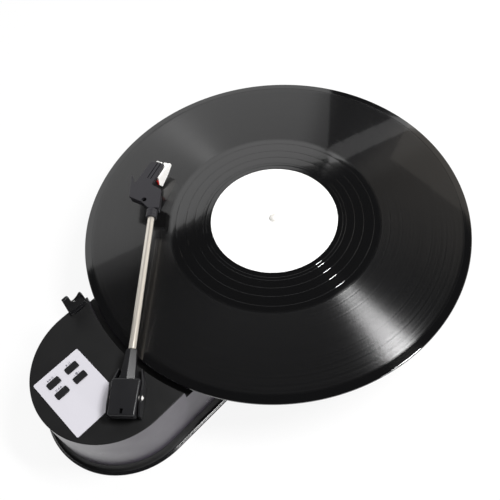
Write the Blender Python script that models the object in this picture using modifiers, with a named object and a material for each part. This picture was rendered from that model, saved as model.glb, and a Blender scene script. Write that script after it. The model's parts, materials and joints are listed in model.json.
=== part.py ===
"""Portable record player with a loaded twelve-inch record, as separate pieces in metres.

Origin on the floor under the middle of the whole object, +X along the base towards the record, +Z up.
"""

from math import acos, atan2, cos, pi, radians, sin

import bmesh
import bpy
from mathutils import Matrix, Vector

# Fits
GAP = 0.0003
RUNNING_CLEARANCE = 0.0001
OVERRUN = 0.0020
WELD_DISTANCE = 0.000001

# Record: the twelve-inch disc that gives the whole object its scale
RECORD_RADIUS = 0.15075
RECORD_THICKNESS = 0.0020
RECORD_HOLE_RADIUS = 0.0036
RECORD_BEAD_WIDTH = 0.0043
RECORD_BEAD_SLOPE = 0.0015
RECORD_EDGE_ROUND = 0.0006
GROOVE_DEPTH = 0.0002
LABEL_RADIUS = 0.0500
LABEL_THICKNESS = 0.0002
LABEL_SEAT_DEPTH = 0.0003
LABEL_SEAT_MARGIN = 0.0002

# Base: a flared tray under a housing with round ends, half hidden by the record
BASE_END_BEYOND_WELL = 0.0138
BASE_RADIUS = 0.0547
WALL_DRAFT = 0.0013
LIP_BEYOND_FOOT = 0.0055
LIP_ROUND = 0.0004
LIP_TREAD = 0.0009
LIP_HEIGHT = 0.0022
COVE_HEIGHT = 0.0053
FOOT_STAND = 0.0010
DECK_HEIGHT = 0.0560
DECK_ROUND = 0.0005
WELL_DEPTH = 0.0080
WELL_MARGIN = 0.00425
HOUSING_WALL = 0.0024
DECK_THICKNESS = 0.0025
TRAY_FLOOR = 0.0022
TRAY_RIB_WALL = 0.0016
TRAY_RIB_HEIGHT = 0.0030
RECORD_CLEARS_WELL = 0.0055

# Feet and case screws
FOOT_RADIUS = 0.0060
FOOT_SEAT_DEPTH = 0.0011
FOOT_ROUND = 0.0004
FOOT_FROM_WALL = 0.0087
FOOT_LEFT_INSET = 0.0138
FOOT_RIGHT_INSET = 0.0050
CASE_BOSS_RADIUS = 0.0034
CASE_BOSS_FROM_WALL = 0.0087
CASE_BOSS_ANGLE = radians(50)
CASE_SCREW_RADIUS = 0.0013
CASE_SCREW_LENGTH = 0.0100
CASE_HEAD_RADIUS = 0.0025
CASE_HEAD_HEIGHT = 0.0009

# Control plate and its four buttons, placed from the spindle
PLATE_BEYOND_WELL = 0.0397
PLATE_Y = 0.0002
PLATE_LENGTH = 0.0381
PLATE_WIDTH = 0.0519
PLATE_THICKNESS = 0.0008
PLATE_SEAT_DEPTH = 0.0007
PLATE_CORNER = 0.0012
PLATE_CUT_LENGTH = 0.0138
PLATE_CUT_WIDTH = 0.0147
BUTTON_LENGTH = 0.0096
BUTTON_WIDTH = 0.0052
BUTTON_CORNER = 0.0010
BUTTON_RISE = 0.0008
BUTTON_TRAVEL = 0.0007
BUTTON_FLANGE = 0.0010
BUTTON_FLANGE_THICKNESS = 0.0012
BUTTON_STEM_RADIUS = 0.0015
BUTTON_STEM_LENGTH = 0.0014
BUTTON_PITCH_X = 0.0154
BUTTON_PITCH_Y = 0.0100
BUTTON_ROW_Y = 0.0118
BUTTON_SLACK = 0.0004
BUTTON_NAMES = ("next_button", "play_button", "previous_button", "record_button")

# Switch board under the buttons
SWITCH_SIDE = 0.0060
SWITCH_HEIGHT = 0.0032
SWITCH_PLUNGER_RADIUS = 0.0017
SWITCH_PLUNGER_HEIGHT = 0.0006
BOARD_THICKNESS = 0.0016
SWITCH_BOARD_LENGTH = 0.0290
SWITCH_BOARD_WIDTH = 0.0300
BOARD_POST_RADIUS = 0.0026
BOARD_POST_SPREAD = 0.0123
BOARD_SCREW_RADIUS = 0.0010
BOARD_SCREW_LENGTH = 0.0060
BOARD_PEG_LENGTH = 0.0012
BOARD_HEAD_RADIUS = 0.0021
BOARD_HEAD_HEIGHT = 0.0012

# Platter, spindle and belt drive
PLATTER_RADIUS = 0.0500
PLATTER_THICKNESS = 0.0013
PLATTER_EDGE_ROUND = 0.0004
PLATTER_RING_WALL = 0.0018
PLATTER_FLOOR_CLEARANCE = 0.0006
PLATTER_HUB_RADIUS = 0.0080
DRIVE_RING_INSET = 0.0090
MAT_THICKNESS = 0.0009
MAT_MARGIN = 0.0006
SPINDLE_PIN_RADIUS = 0.0035
SPINDLE_PIN_RISE = 0.0026
SPINDLE_SHAFT_RADIUS = 0.0030
SPINDLE_TAIL = 0.0016
BUSH_WALL = 0.0018
BUSH_FLANGE_WIDTH = 0.0017
BUSH_FLANGE_THICKNESS = 0.0008
BEARING_BOSS_WALL = 0.0022
BEARING_BOSS_LENGTH = 0.0130
CLIP_WIDTH = 0.0021
CLIP_THICKNESS = 0.0008
CLIP_GROOVE_DEPTH = 0.0006
CLIP_MOUTH = 0.0030
PULLEY_RADIUS = 0.0020
PULLEY_FLANGE = 0.0005
PULLEY_FLANGE_THICKNESS = 0.0003
PULLEY_CLEARANCE = 0.0016
BELT_SLACK = 0.00015
BELT_THICKNESS = 0.0005
BELT_HEIGHT = 0.0010
BELT_ABOVE_WELL = 0.0009
MOTOR_RADIUS = 0.0120
MOTOR_HEIGHT = 0.0180
MOTOR_EDGE_ROUND = 0.0010
MOTOR_BOSS_RADIUS = 0.0031
MOTOR_SHAFT_RADIUS = 0.00075
MOTOR_ROOF = 0.0040
ARMATURE_RADIUS = 0.0065
ARMATURE_HEIGHT = 0.0090
MOTOR_SCREW_SPREAD = 0.0080
MOTOR_SCREW_RADIUS = 0.0012
MOTOR_SCREW_LENGTH = 0.0060
MOTOR_HEAD_RADIUS = 0.0022
MOTOR_HEAD_HEIGHT = 0.0007

# Tonearm: places are measured from its upright pivot, along the tube and to its left
PIVOT_BEYOND_WELL = 0.0202
PIVOT_Y = -0.0313
ARM_AZIMUTH = radians(42.06)
ARM_SLOPE = radians(2.45)
ARM_PIN_OVER_RECORD = 0.0086
TURRET_FLANGE_RADIUS = 0.0085
TURRET_FLANGE_THICKNESS = 0.0006
TURRET_BARREL_RADIUS = 0.0055
TURRET_BARREL_LENGTH = 0.0120
TURRET_NUT_RADIUS = 0.0082
TURRET_NUT_THICKNESS = 0.0036
ARM_SHAFT_RADIUS = 0.0030
ARM_SHAFT_HEAD_RADIUS = 0.0048
ARM_SHAFT_HEAD_HEIGHT = 0.0008
YOKE_FLOOR = 0.0014
YOKE_HALF_WIDTH = 0.0115
YOKE_CHEEK = 0.0013
YOKE_REAR = 0.0120
YOKE_WAIST = 0.0100
YOKE_FRONT = 0.0210
YOKE_FRONT_HALF_WIDTH = 0.0084
YOKE_ABOVE_PIN = 0.0022
YOKE_TOP_HALF_LENGTH = 0.0050
YOKE_REAR_DROP = 0.0030
YOKE_FRONT_DROP = 0.0040
YOKE_FLOOR_REAR = 0.0048
PIN_RADIUS = 0.0015
PIN_DOME = 0.0004
COVER_FRONT = 0.0123
COVER_REAR = 0.0132
COVER_FRONT_HALF_WIDTH = 0.0098
COVER_REAR_HALF_WIDTH = 0.0091
COVER_ABOVE_PIN = 0.0044
COVER_BELOW_PIN = 0.0037
COVER_WALL = 0.0014
COVER_EDGE = 0.0009
COVER_SLOT_LENGTH = 0.0026
COVER_SLOT_WIDTH = 0.0013
COVER_SLOT_REAR = 0.0105
NECK_END = 0.0337
NECK_ROOT_HALF_WIDTH = 0.0054
NECK_ROOT_HALF_HEIGHT = 0.0037
NECK_TIP_HALF_WIDTH = 0.0037
NECK_TIP_HALF_HEIGHT = 0.0039
NECK_BORE_DEPTH = 0.0080
WEIGHT_LENGTH = 0.0085
WEIGHT_HALF_WIDTH = 0.0068
WEIGHT_HEIGHT = 0.0042
TUBE_RADIUS = 0.0026
TUBE_WALL = 0.0005
TUBE_END = 0.1411
TUBE_PLUG = 0.0050
COLLAR_RADIUS = 0.0044
COLLAR_LENGTH = 0.0074
COLLAR_EDGE = 0.0004
COLLAR_PLUG_RADIUS = 0.0016
COLLAR_PLUG_LENGTH = 0.0070
STUB_ABOVE_SLOPE = 0.0002

# Head: outline places are shares of its length along the arm and its width across it
HEAD_START = 0.1490
HEAD_LENGTH = 0.0472
HEAD_WIDTH = 0.0269
HEAD_RIGHT = 0.0057
HEAD_TOP_OVER_RECORD = 0.0180
HEAD_COVER_THICKNESS = 0.0024
HEAD_COVER_EDGE = 0.0004
HEAD_BLOCK_HEIGHT = 0.0056
HEAD_BLOCK_INSET = 0.0005
HEAD_OUTLINE_SHARES = (
    (0.000, 0.000),
    (0.371, 0.007),
    (0.496, 0.331),
    (0.936, 0.048),
    (1.000, 0.457),
    (0.523, 0.844),
    (0.744, 1.000),
    (0.237, 0.937),
    (0.129, 0.550),
    (0.000, 0.316),
)
HEAD_BLOCK_SHARES = (
    (0.000, 0.000),
    (0.350, 0.000),
    (0.350, 0.500),
    (0.200, 0.660),
    (0.129, 0.550),
    (0.000, 0.316),
)
HEAD_SCREW_SHARES = (0.172, 0.476)
HEAD_SCREW_RADIUS = 0.0009
HEAD_SCREW_LENGTH = 0.0060
HEAD_SCREW_HEAD_RADIUS = 0.0012
HEAD_SCREW_HEAD_HEIGHT = 0.0008
HEAD_SCREW_SUNK = 0.0014
CARTRIDGE_ANGLE = radians(22.5)
CARTRIDGE_FRONT_X = 0.1947
CARTRIDGE_FRONT_Y = 0.0011
CARTRIDGE_LENGTH = 0.0210
CARTRIDGE_WIDTH = 0.0106
CARTRIDGE_FLAT_LENGTH = 0.0100
CARTRIDGE_BACK_SET = 0.0006
CARTRIDGE_BOTTOM_OVER_RECORD = 0.0049
CARTRIDGE_NOSE_OVER_RECORD = 0.0092
GROOVE_CUT_WIDTH = 0.0007
GROOVE_CUT_DEPTH = 0.0005
GROOVE_CUT_LENGTH = 0.0170
GROOVE_CUT_PLACES = (-0.0003, -0.0031)
LEVER_SLOPE = radians(22.6)
LEVER_REAR = -0.0097
LEVER_LENGTH = 0.0192
LEVER_THICKNESS = 0.0034
LEVER_OVER_RECORD = 0.0012
LEVER_RIGHT = 0.0054
LEVER_FRONT_WIDTH = 0.0064
LEVER_REAR_WIDTH = 0.0036
LEVER_FRONT_CORNER = 0.0016
STYLUS_BACK = 0.0082
STYLUS_RIGHT = 0.0037
STYLUS_RADIUS = 0.0004
STYLUS_TIP_RADIUS = 0.00005

# Arm rest: outline places are shares of its width and height
REST_BEYOND_WELL = 0.0079
REST_FROM_WALL = 0.0034
REST_WIDTH = 0.0156
REST_HEIGHT = 0.0200
REST_THICKNESS = 0.0022
REST_OUTLINE_SHARES = (
    (0.000, 0.000),
    (1.000, 0.000),
    (0.985, 0.480),
    (0.960, 0.660),
    (0.900, 0.760),
    (0.800, 0.730),
    (0.700, 0.670),
    (0.600, 0.635),
    (0.500, 0.625),
    (0.420, 0.645),
    (0.385, 0.700),
    (0.385, 0.960),
    (0.340, 1.000),
    (0.090, 1.000),
    (0.050, 0.960),
)
REST_FOOT_DEPTH = 0.0014
REST_FOOT_THICKNESS = 0.0012
REST_TANG_LENGTH = 0.0080
REST_TANG_THICKNESS = 0.0016
REST_TANG_DEPTH = 0.0055

# Battery compartment for four upright-row AA cells, with its hinged door
BATTERY_BOX_LENGTH = 0.0570
BATTERY_BOX_WIDTH = 0.0640
BATTERY_BOX_HEIGHT = 0.0168
BATTERY_BOX_WALL = 0.0014
DOOR_THICKNESS = 0.0016
DOOR_LEDGE = 0.0001
DOOR_HINGE_INSET = 0.0012
DOOR_PIN_RADIUS = 0.0006
DOOR_PIN_LENGTH = 0.0012
DOOR_GRIP_RADIUS = 0.0070
DOOR_GRIP_DEPTH = 0.0007
CONTACT_THICKNESS = 0.0005
BATTERY_CELLS = 4
CELL_PITCH = 0.0150
CONTACT_WIDTH = 0.0580
CONTACT_HEIGHT = 0.0110
CONTACT_SPRING_RADIUS = 0.0030
CONTACT_SPRING_REACH = 0.0022

# Speaker, firing down through slots in the tray
SPEAKER_INSET = 0.0048
SPEAKER_RADIUS = 0.0250
SPEAKER_RIM = 0.0030
SPEAKER_RIM_HEIGHT = 0.0020
SPEAKER_BASKET_RADIUS = 0.0130
SPEAKER_BASKET_HEIGHT = 0.0080
SPEAKER_MAGNET_RADIUS = 0.0110
SPEAKER_MAGNET_HEIGHT = 0.0060
SPEAKER_SLOTS = 7
SPEAKER_SLOT_PITCH = 0.0050
SPEAKER_SLOT_WIDTH = 0.0022

# Main board with sockets, volume wheel and speed switch at the back wall
MAIN_BOARD_MARGIN = 0.0010
MAIN_BOARD_LENGTH = 0.0980
MAIN_BOARD_FROM_WALL = 0.0047
MAIN_BOARD_WIDTH = 0.0360
MAIN_BOARD_HEIGHT = 0.0260
MAIN_POST_INSET = 0.0050
MAIN_POST_MARGIN = 0.0050
BACK_PIECE_PROUD = 0.0001
USB_ALONG = 0.0270
USB_WIDTH = 0.0132
USB_HEIGHT = 0.0058
USB_LENGTH = 0.0140
USB_WALL = 0.0004
USB_TONGUE = 0.0018
JACK_ALONG = 0.0430
JACK_WIDTH = 0.0080
JACK_HEIGHT = 0.0060
JACK_LENGTH = 0.0120
JACK_HOLE_RADIUS = 0.0018
VOLUME_ALONG = 0.0640
VOLUME_FROM_WALL = 0.0099
VOLUME_RADIUS = 0.0118
VOLUME_THICKNESS = 0.0030
VOLUME_RIB_DEPTH = 0.0003
VOLUME_RIBS = 20
VOLUME_BODY_RADIUS = 0.0070
VOLUME_BODY_HEIGHT = 0.0024
VOLUME_SHAFT_RADIUS = 0.0020
SPEED_ALONG = 0.0860
SPEED_BODY_LENGTH = 0.0150
SPEED_BODY_WIDTH = 0.0060
SPEED_BODY_HEIGHT = 0.0055
SPEED_KNOB_LENGTH = 0.0040
SPEED_KNOB_HEIGHT = 0.0030
SPEED_KNOB_RISE = 0.0016
SPEED_KNOB_DEPTH = 0.0070
SPEED_TRAVEL = 0.0060

# Facets
END_STEPS = 16
RECORD_STEPS = 96
PLATTER_STEPS = 48
ROUND_STEPS = 24
SMALL_STEPS = 12
COVE_STEPS = 4
CORNER_STEPS = 3
NUT_SIDES = 6
BEVEL_STEPS = 2
SHARP_ANGLE = radians(35)

# Heights that follow from the sizes above
TRAY_TOP = FOOT_STAND + LIP_HEIGHT + COVE_HEIGHT
HOUSING_BOTTOM = TRAY_TOP + GAP
WELL_FLOOR = DECK_HEIGHT - WELL_DEPTH
WELL_UNDERSIDE = WELL_FLOOR - DECK_THICKNESS
DECK_UNDERSIDE = DECK_HEIGHT - DECK_THICKNESS
RECORD_UNDERSIDE = WELL_FLOOR + RECORD_CLEARS_WELL
RECORD_TOP = RECORD_UNDERSIDE + RECORD_THICKNESS
GROOVE_TOP = RECORD_TOP - GROOVE_DEPTH
MAT_TOP = RECORD_UNDERSIDE - GAP
PLATTER_TOP = MAT_TOP - MAT_THICKNESS - GAP
PLATTER_UNDERSIDE = PLATTER_TOP - PLATTER_THICKNESS
BUSH_TOP = WELL_FLOOR + GAP + BUSH_FLANGE_THICKNESS
TRAY_FLOOR_TOP = FOOT_STAND + TRAY_FLOOR
PLATE_TOP = DECK_HEIGHT - PLATE_SEAT_DEPTH + GAP + PLATE_THICKNESS
BUTTON_TOP = PLATE_TOP + BUTTON_RISE
BUTTON_FLANGE_TOP = DECK_UNDERSIDE - GAP
BUTTON_STEM_END = BUTTON_FLANGE_TOP - BUTTON_FLANGE_THICKNESS - BUTTON_STEM_LENGTH
SWITCH_BOARD_TOP = BUTTON_STEM_END - BUTTON_TRAVEL - GAP - SWITCH_PLUNGER_HEIGHT - SWITCH_HEIGHT
TURRET_TOP = DECK_HEIGHT + GAP + TURRET_FLANGE_THICKNESS
TURRET_BOTTOM = DECK_HEIGHT - TURRET_BARREL_LENGTH
YOKE_BOTTOM = TURRET_TOP + GAP
YOKE_FLOOR_TOP = YOKE_BOTTOM + YOKE_FLOOR
PIN_HEIGHT = RECORD_TOP + ARM_PIN_OVER_RECORD
BATTERY_ROOF = TRAY_FLOOR_TOP + GAP + BATTERY_BOX_HEIGHT
MAIN_BOARD_TOP = MAIN_BOARD_HEIGHT + BOARD_THICKNESS
PART_SEAT = MAIN_BOARD_TOP + GAP

# Places that follow from the sizes above: the base grows with the record, beyond the well's edge
BASE_FOOT_RADIUS = BASE_RADIUS + WALL_DRAFT
LIP_RADIUS = BASE_FOOT_RADIUS + LIP_BEYOND_FOOT
WELL_RADIUS = RECORD_RADIUS + WELL_MARGIN
BASE_END_DISTANCE = WELL_RADIUS + BASE_END_BEYOND_WELL
SPINDLE_X = (BASE_END_DISTANCE + LIP_RADIUS - RECORD_RADIUS) / 2
SPINDLE = Vector((SPINDLE_X, 0))
END_X = SPINDLE_X - BASE_END_DISTANCE
WELL_EDGE_X = SPINDLE_X - WELL_RADIUS
PIVOT = Vector((WELL_EDGE_X - PIVOT_BEYOND_WELL, PIVOT_Y))
PLATE_CENTRE = Vector((WELL_EDGE_X - PLATE_BEYOND_WELL, PLATE_Y))
REST_LEFT_X = WELL_EDGE_X - REST_BEYOND_WELL
DRIVE_RING_RADIUS = PLATTER_RADIUS - DRIVE_RING_INSET
PULLEY_DISTANCE = DRIVE_RING_RADIUS + PULLEY_RADIUS + PULLEY_CLEARANCE
PULLEY_CENTRE = SPINDLE - Vector((PULLEY_DISTANCE, 0))
HOUSING_INNER = BASE_RADIUS - HOUSING_WALL
HOUSING_FOOT_INNER = BASE_FOOT_RADIUS - HOUSING_WALL
FOOT_SIDE_Y = BASE_RADIUS - FOOT_FROM_WALL
CASE_BOSS_REACH = BASE_RADIUS - CASE_BOSS_FROM_WALL
REST_FRONT_Y = BASE_RADIUS - REST_FROM_WALL
BACK_PIECE_REACH = BASE_RADIUS + BACK_PIECE_PROUD
VOLUME_Y = BASE_RADIUS - VOLUME_FROM_WALL

# Colour, roughness and metallic value of each kind of surface
FINISHES = {
    "black_satin": ((0.018, 0.018, 0.020), 0.35, 0.0),
    "black_gloss": ((0.012, 0.012, 0.013), 0.12, 0.0),
    "record_black": ((0.006, 0.006, 0.007), 0.10, 0.0),
    "label_white": ((0.90, 0.90, 0.89), 0.60, 0.0),
    "plate_white": ((0.74, 0.73, 0.78), 0.40, 0.0),
    "lever_white": ((0.85, 0.84, 0.80), 0.40, 0.0),
    "rubber": ((0.030, 0.030, 0.030), 0.80, 0.0),
    "chrome": ((0.80, 0.79, 0.77), 0.12, 1.0),
    "steel": ((0.60, 0.60, 0.60), 0.30, 1.0),
    "brass": ((0.70, 0.52, 0.25), 0.30, 1.0),
    "zinc": ((0.45, 0.45, 0.46), 0.45, 1.0),
    "board_green": ((0.03, 0.16, 0.07), 0.45, 0.0),
}


def clear_scene():
    for obj in list(bpy.data.objects):
        bpy.data.objects.remove(obj)


def new_collection(name):
    collection = bpy.data.collections.new(name)
    bpy.context.scene.collection.children.link(collection)
    return collection


def painted(name, finish):
    """A Principled material of this finish, named for the piece that wears it."""
    colour, roughness, metallic = FINISHES[finish]
    material = bpy.data.materials.new(name)
    material.use_nodes = True
    shader = material.node_tree.nodes["Principled BSDF"]
    shader.inputs["Base Color"].default_value = (*colour, 1)
    shader.inputs["Roughness"].default_value = roughness
    shader.inputs["Metallic"].default_value = metallic
    material.diffuse_color = (*colour, 1)
    return material


def piece_from(name, mesh, finish):
    """An object of the player, or a helper when it has no finish."""
    obj = bpy.data.objects.new(name, mesh)
    mesh.shade_smooth()
    mesh.set_sharp_from_angle(angle=SHARP_ANGLE)
    if finish:
        mesh.materials.append(painted(name, finish))
        bpy.data.collections["record_player"].objects.link(obj)
    else:
        obj.hide_render = True
        obj.display_type = "WIRE"
        bpy.data.collections["cutters"].objects.link(obj)
    return obj


def piece_from_bmesh(name, bm, finish):
    mesh = bpy.data.meshes.new(name)
    bm.to_mesh(mesh)
    bm.free()
    return piece_from(name, mesh, finish)


def block(name, x, y, z, finish=None):
    """A box between pairs of values."""
    bm = bmesh.new()
    bmesh.ops.create_cube(bm, size=1)
    size = Vector((x[1] - x[0], y[1] - y[0], z[1] - z[0]))
    middle = Vector((x[0] + x[1], y[0] + y[1], z[0] + z[1])) / 2
    bmesh.ops.transform(bm, matrix=Matrix.LocRotScale(middle, None, size), verts=bm.verts)
    return piece_from_bmesh(name, bm, finish)


def rod(name, radius, low, high, finish=None, centre=(0, 0), steps=ROUND_STEPS):
    """An upright cylinder between two heights."""
    bm = bmesh.new()
    bmesh.ops.create_cone(
        bm, cap_ends=True, segments=steps, radius1=radius, radius2=radius, depth=high - low
    )
    middle = Vector((centre[0], centre[1], (low + high) / 2))
    bmesh.ops.translate(bm, vec=middle, verts=bm.verts)
    return piece_from_bmesh(name, bm, finish)


def pin(name, radius, low, high, centre=(0, 0)):
    """A small upright cylinder that helps to join or cut."""
    return rod(name, radius, low, high, centre=centre, steps=SMALL_STEPS)


def prism(name, outlines, low, high, finish=None):
    """Flat outlines, the first one outside and the rest holes, filled as a curve between two heights."""
    curve = bpy.data.curves.new(name, "CURVE")
    curve.dimensions = "2D"
    curve.fill_mode = "BOTH"
    curve.extrude = (high - low) / 2
    for outline in outlines:
        spline = curve.splines.new("POLY")
        spline.points.add(len(outline) - 1)
        for point, place in zip(spline.points, outline):
            point.co = (place[0], place[1], 0, 1)
        spline.use_cyclic_u = True
    guide = bpy.data.objects.new(name, curve)
    bpy.context.scene.collection.objects.link(guide)
    graph = bpy.context.evaluated_depsgraph_get()
    mesh = bpy.data.meshes.new_from_object(guide.evaluated_get(graph))
    bm = bmesh.new()
    bm.from_mesh(mesh)
    bmesh.ops.remove_doubles(bm, verts=bm.verts, dist=WELD_DISTANCE)
    bmesh.ops.translate(bm, vec=(0, 0, (low + high) / 2), verts=bm.verts)
    bmesh.ops.recalc_face_normals(bm, faces=bm.faces)
    bpy.data.objects.remove(guide)
    return piece_from_bmesh(name, bm, finish)


def lofted(name, rings, finish=None):
    """A closed body through rings of equally many points, capped at both ends."""
    bm = bmesh.new()
    rows = [[bm.verts.new(point) for point in ring] for ring in rings]
    for low, high in zip(rows, rows[1:]):
        for i in range(len(low)):
            j = (i + 1) % len(low)
            bm.faces.new((low[i], low[j], high[j], high[i]))
    bm.faces.new(tuple(reversed(rows[0])))
    bm.faces.new(rows[-1])
    bmesh.ops.recalc_face_normals(bm, faces=bm.faces)
    return piece_from_bmesh(name, bm, finish)


def turned(name, profile, finish=None, steps=ROUND_STEPS):
    """A body turned about z from (radius, height) points that run down its outer side."""
    bm = bmesh.new()
    points = [bm.verts.new((radius, 0, height)) for radius, height in profile]
    for first, second in zip(points, points[1:]):
        bm.edges.new((first, second))
    if profile[0][0] > 0:
        bm.edges.new((points[-1], points[0]))
    obj = piece_from_bmesh(name, bm, finish)
    screw = obj.modifiers.new("turn", "SCREW")
    screw.steps = steps
    screw.render_steps = steps
    screw.use_merge_vertices = True
    screw.merge_threshold = WELD_DISTANCE
    return obj


def bevelled(obj, width, segments=BEVEL_STEPS):
    bevel = obj.modifiers.new("edge", "BEVEL")
    bevel.width = width
    bevel.segments = segments
    bevel.limit_method = "ANGLE"
    return obj


def boolean(obj, other, operation):
    modifier = obj.modifiers.new(other.name, "BOOLEAN")
    modifier.operation = operation
    modifier.object = other
    modifier.solver = "EXACT"
    return obj


def cut(obj, *cutters):
    for cutter in cutters:
        boolean(obj, cutter, "DIFFERENCE")
    return obj


def join(obj, *others):
    for other in others:
        boolean(obj, other, "UNION")
    return obj


def put(obj, at=(0, 0, 0), parent=None, turn=(0, 0, 0)):
    """Places an object in its parent's frame."""
    obj.parent = parent
    obj.location = at
    obj.rotation_euler = turn
    return obj


def ring(radius, steps):
    return [(radius * cos(2 * pi * i / steps), radius * sin(2 * pi * i / steps)) for i in range(steps)]


def rounded(x, y, corner):
    """A rectangle with round corners, anticlockwise from its lower right corner."""
    centres = (
        (x[1] - corner, y[0] + corner, -pi / 2),
        (x[1] - corner, y[1] - corner, 0),
        (x[0] + corner, y[1] - corner, pi / 2),
        (x[0] + corner, y[0] + corner, pi),
    )
    points = []
    for centre_x, centre_y, start in centres:
        for i in range(CORNER_STEPS + 1):
            angle = start + pi / 2 * i / CORNER_STEPS
            points.append((centre_x + corner * cos(angle), centre_y + corner * sin(angle)))
    return points


def centred(middle, size):
    return (middle - size / 2, middle + size / 2)


def stadium(radius, height=0):
    """The base's outline at this radius: two half circles about the spindle and the far end."""
    points = []
    for centre_x, start in ((SPINDLE_X, -pi / 2), (END_X, pi / 2)):
        for i in range(END_STEPS + 1):
            angle = start + pi * i / END_STEPS
            points.append((centre_x + radius * cos(angle), radius * sin(angle), height))
    return points


def end_place(side, x_sign, reach, angle):
    """A place near one round end of the base, on either side of its centre line."""
    centre_x = SPINDLE_X if x_sign > 0 else END_X
    return Vector((centre_x + x_sign * reach * cos(angle), side * reach * sin(angle)))


CASE_BOSSES = [
    end_place(side, x_sign, CASE_BOSS_REACH, CASE_BOSS_ANGLE) for x_sign in (-1, 1) for side in (-1, 1)
]
FEET = [
    Vector((x, side * FOOT_SIDE_Y))
    for x in (END_X + FOOT_LEFT_INSET, SPINDLE_X - FOOT_RIGHT_INSET)
    for side in (-1, 1)
]
BUTTON_PLACES = [
    PLATE_CENTRE + Vector((x_side * BUTTON_PITCH_X / 2, BUTTON_ROW_Y + y_side * BUTTON_PITCH_Y / 2))
    for y_side in (1, -1)
    for x_side in (-1, 1)
]
SWITCH_BOARD_POSTS = [
    PLATE_CENTRE + Vector((0, BUTTON_ROW_Y + side * BOARD_POST_SPREAD)) for side in (-1, 1)
]
SPEAKER_X = END_X + SPEAKER_INSET
SPEAKER_RIGHT = SPEAKER_X + SPEAKER_RADIUS
BATTERY_X = centred((SPEAKER_RIGHT + PULLEY_CENTRE[0] - MOTOR_RADIUS) / 2, BATTERY_BOX_LENGTH)
BATTERY_Y = centred(0, BATTERY_BOX_WIDTH)
MAIN_BOARD_LEFT = SPEAKER_RIGHT + MAIN_BOARD_MARGIN
MAIN_BOARD_X = (MAIN_BOARD_LEFT, MAIN_BOARD_LEFT + MAIN_BOARD_LENGTH)
MAIN_BOARD_BACK = BASE_RADIUS - MAIN_BOARD_FROM_WALL
MAIN_BOARD_Y = (MAIN_BOARD_BACK - MAIN_BOARD_WIDTH, MAIN_BOARD_BACK)
MAIN_BOARD_POSTS = [
    Vector((x, BATTERY_Y[1] + MAIN_POST_MARGIN))
    for x in (MAIN_BOARD_X[0] + MAIN_POST_INSET, MAIN_BOARD_X[1] - MAIN_POST_INSET)
]
USB_X = MAIN_BOARD_LEFT + USB_ALONG
JACK_X = MAIN_BOARD_LEFT + JACK_ALONG
VOLUME_X = MAIN_BOARD_LEFT + VOLUME_ALONG
SPEED_X = MAIN_BOARD_LEFT + SPEED_ALONG
DOOR_WINDOW_X = (BATTERY_X[0] + BATTERY_BOX_WALL, BATTERY_X[1] - BATTERY_BOX_WALL)
DOOR_WINDOW_Y = (BATTERY_Y[0] + BATTERY_BOX_WALL, BATTERY_Y[1] - BATTERY_BOX_WALL)
DOOR_BOTTOM = FOOT_STAND + DOOR_LEDGE
HINGE_X = DOOR_WINDOW_X[1] - DOOR_HINGE_INSET
HINGE_Z = DOOR_BOTTOM + DOOR_THICKNESS / 2


def screw_piece(name, at, top, head_radius, head_height, radius, length, up=False):
    """A plain screw with its head's outer face at this height, pointing down or up."""
    sign = -1 if up else 1
    profile = [
        (0, 0),
        (head_radius, 0),
        (head_radius, -head_height),
        (radius, -head_height),
        (radius, -head_height - length),
        (0, -head_height - length),
    ]
    obj = turned(name, profile, "steel", SMALL_STEPS)
    return put(obj, (at[0], at[1], top), turn=(0 if sign > 0 else pi, 0, 0))


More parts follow.
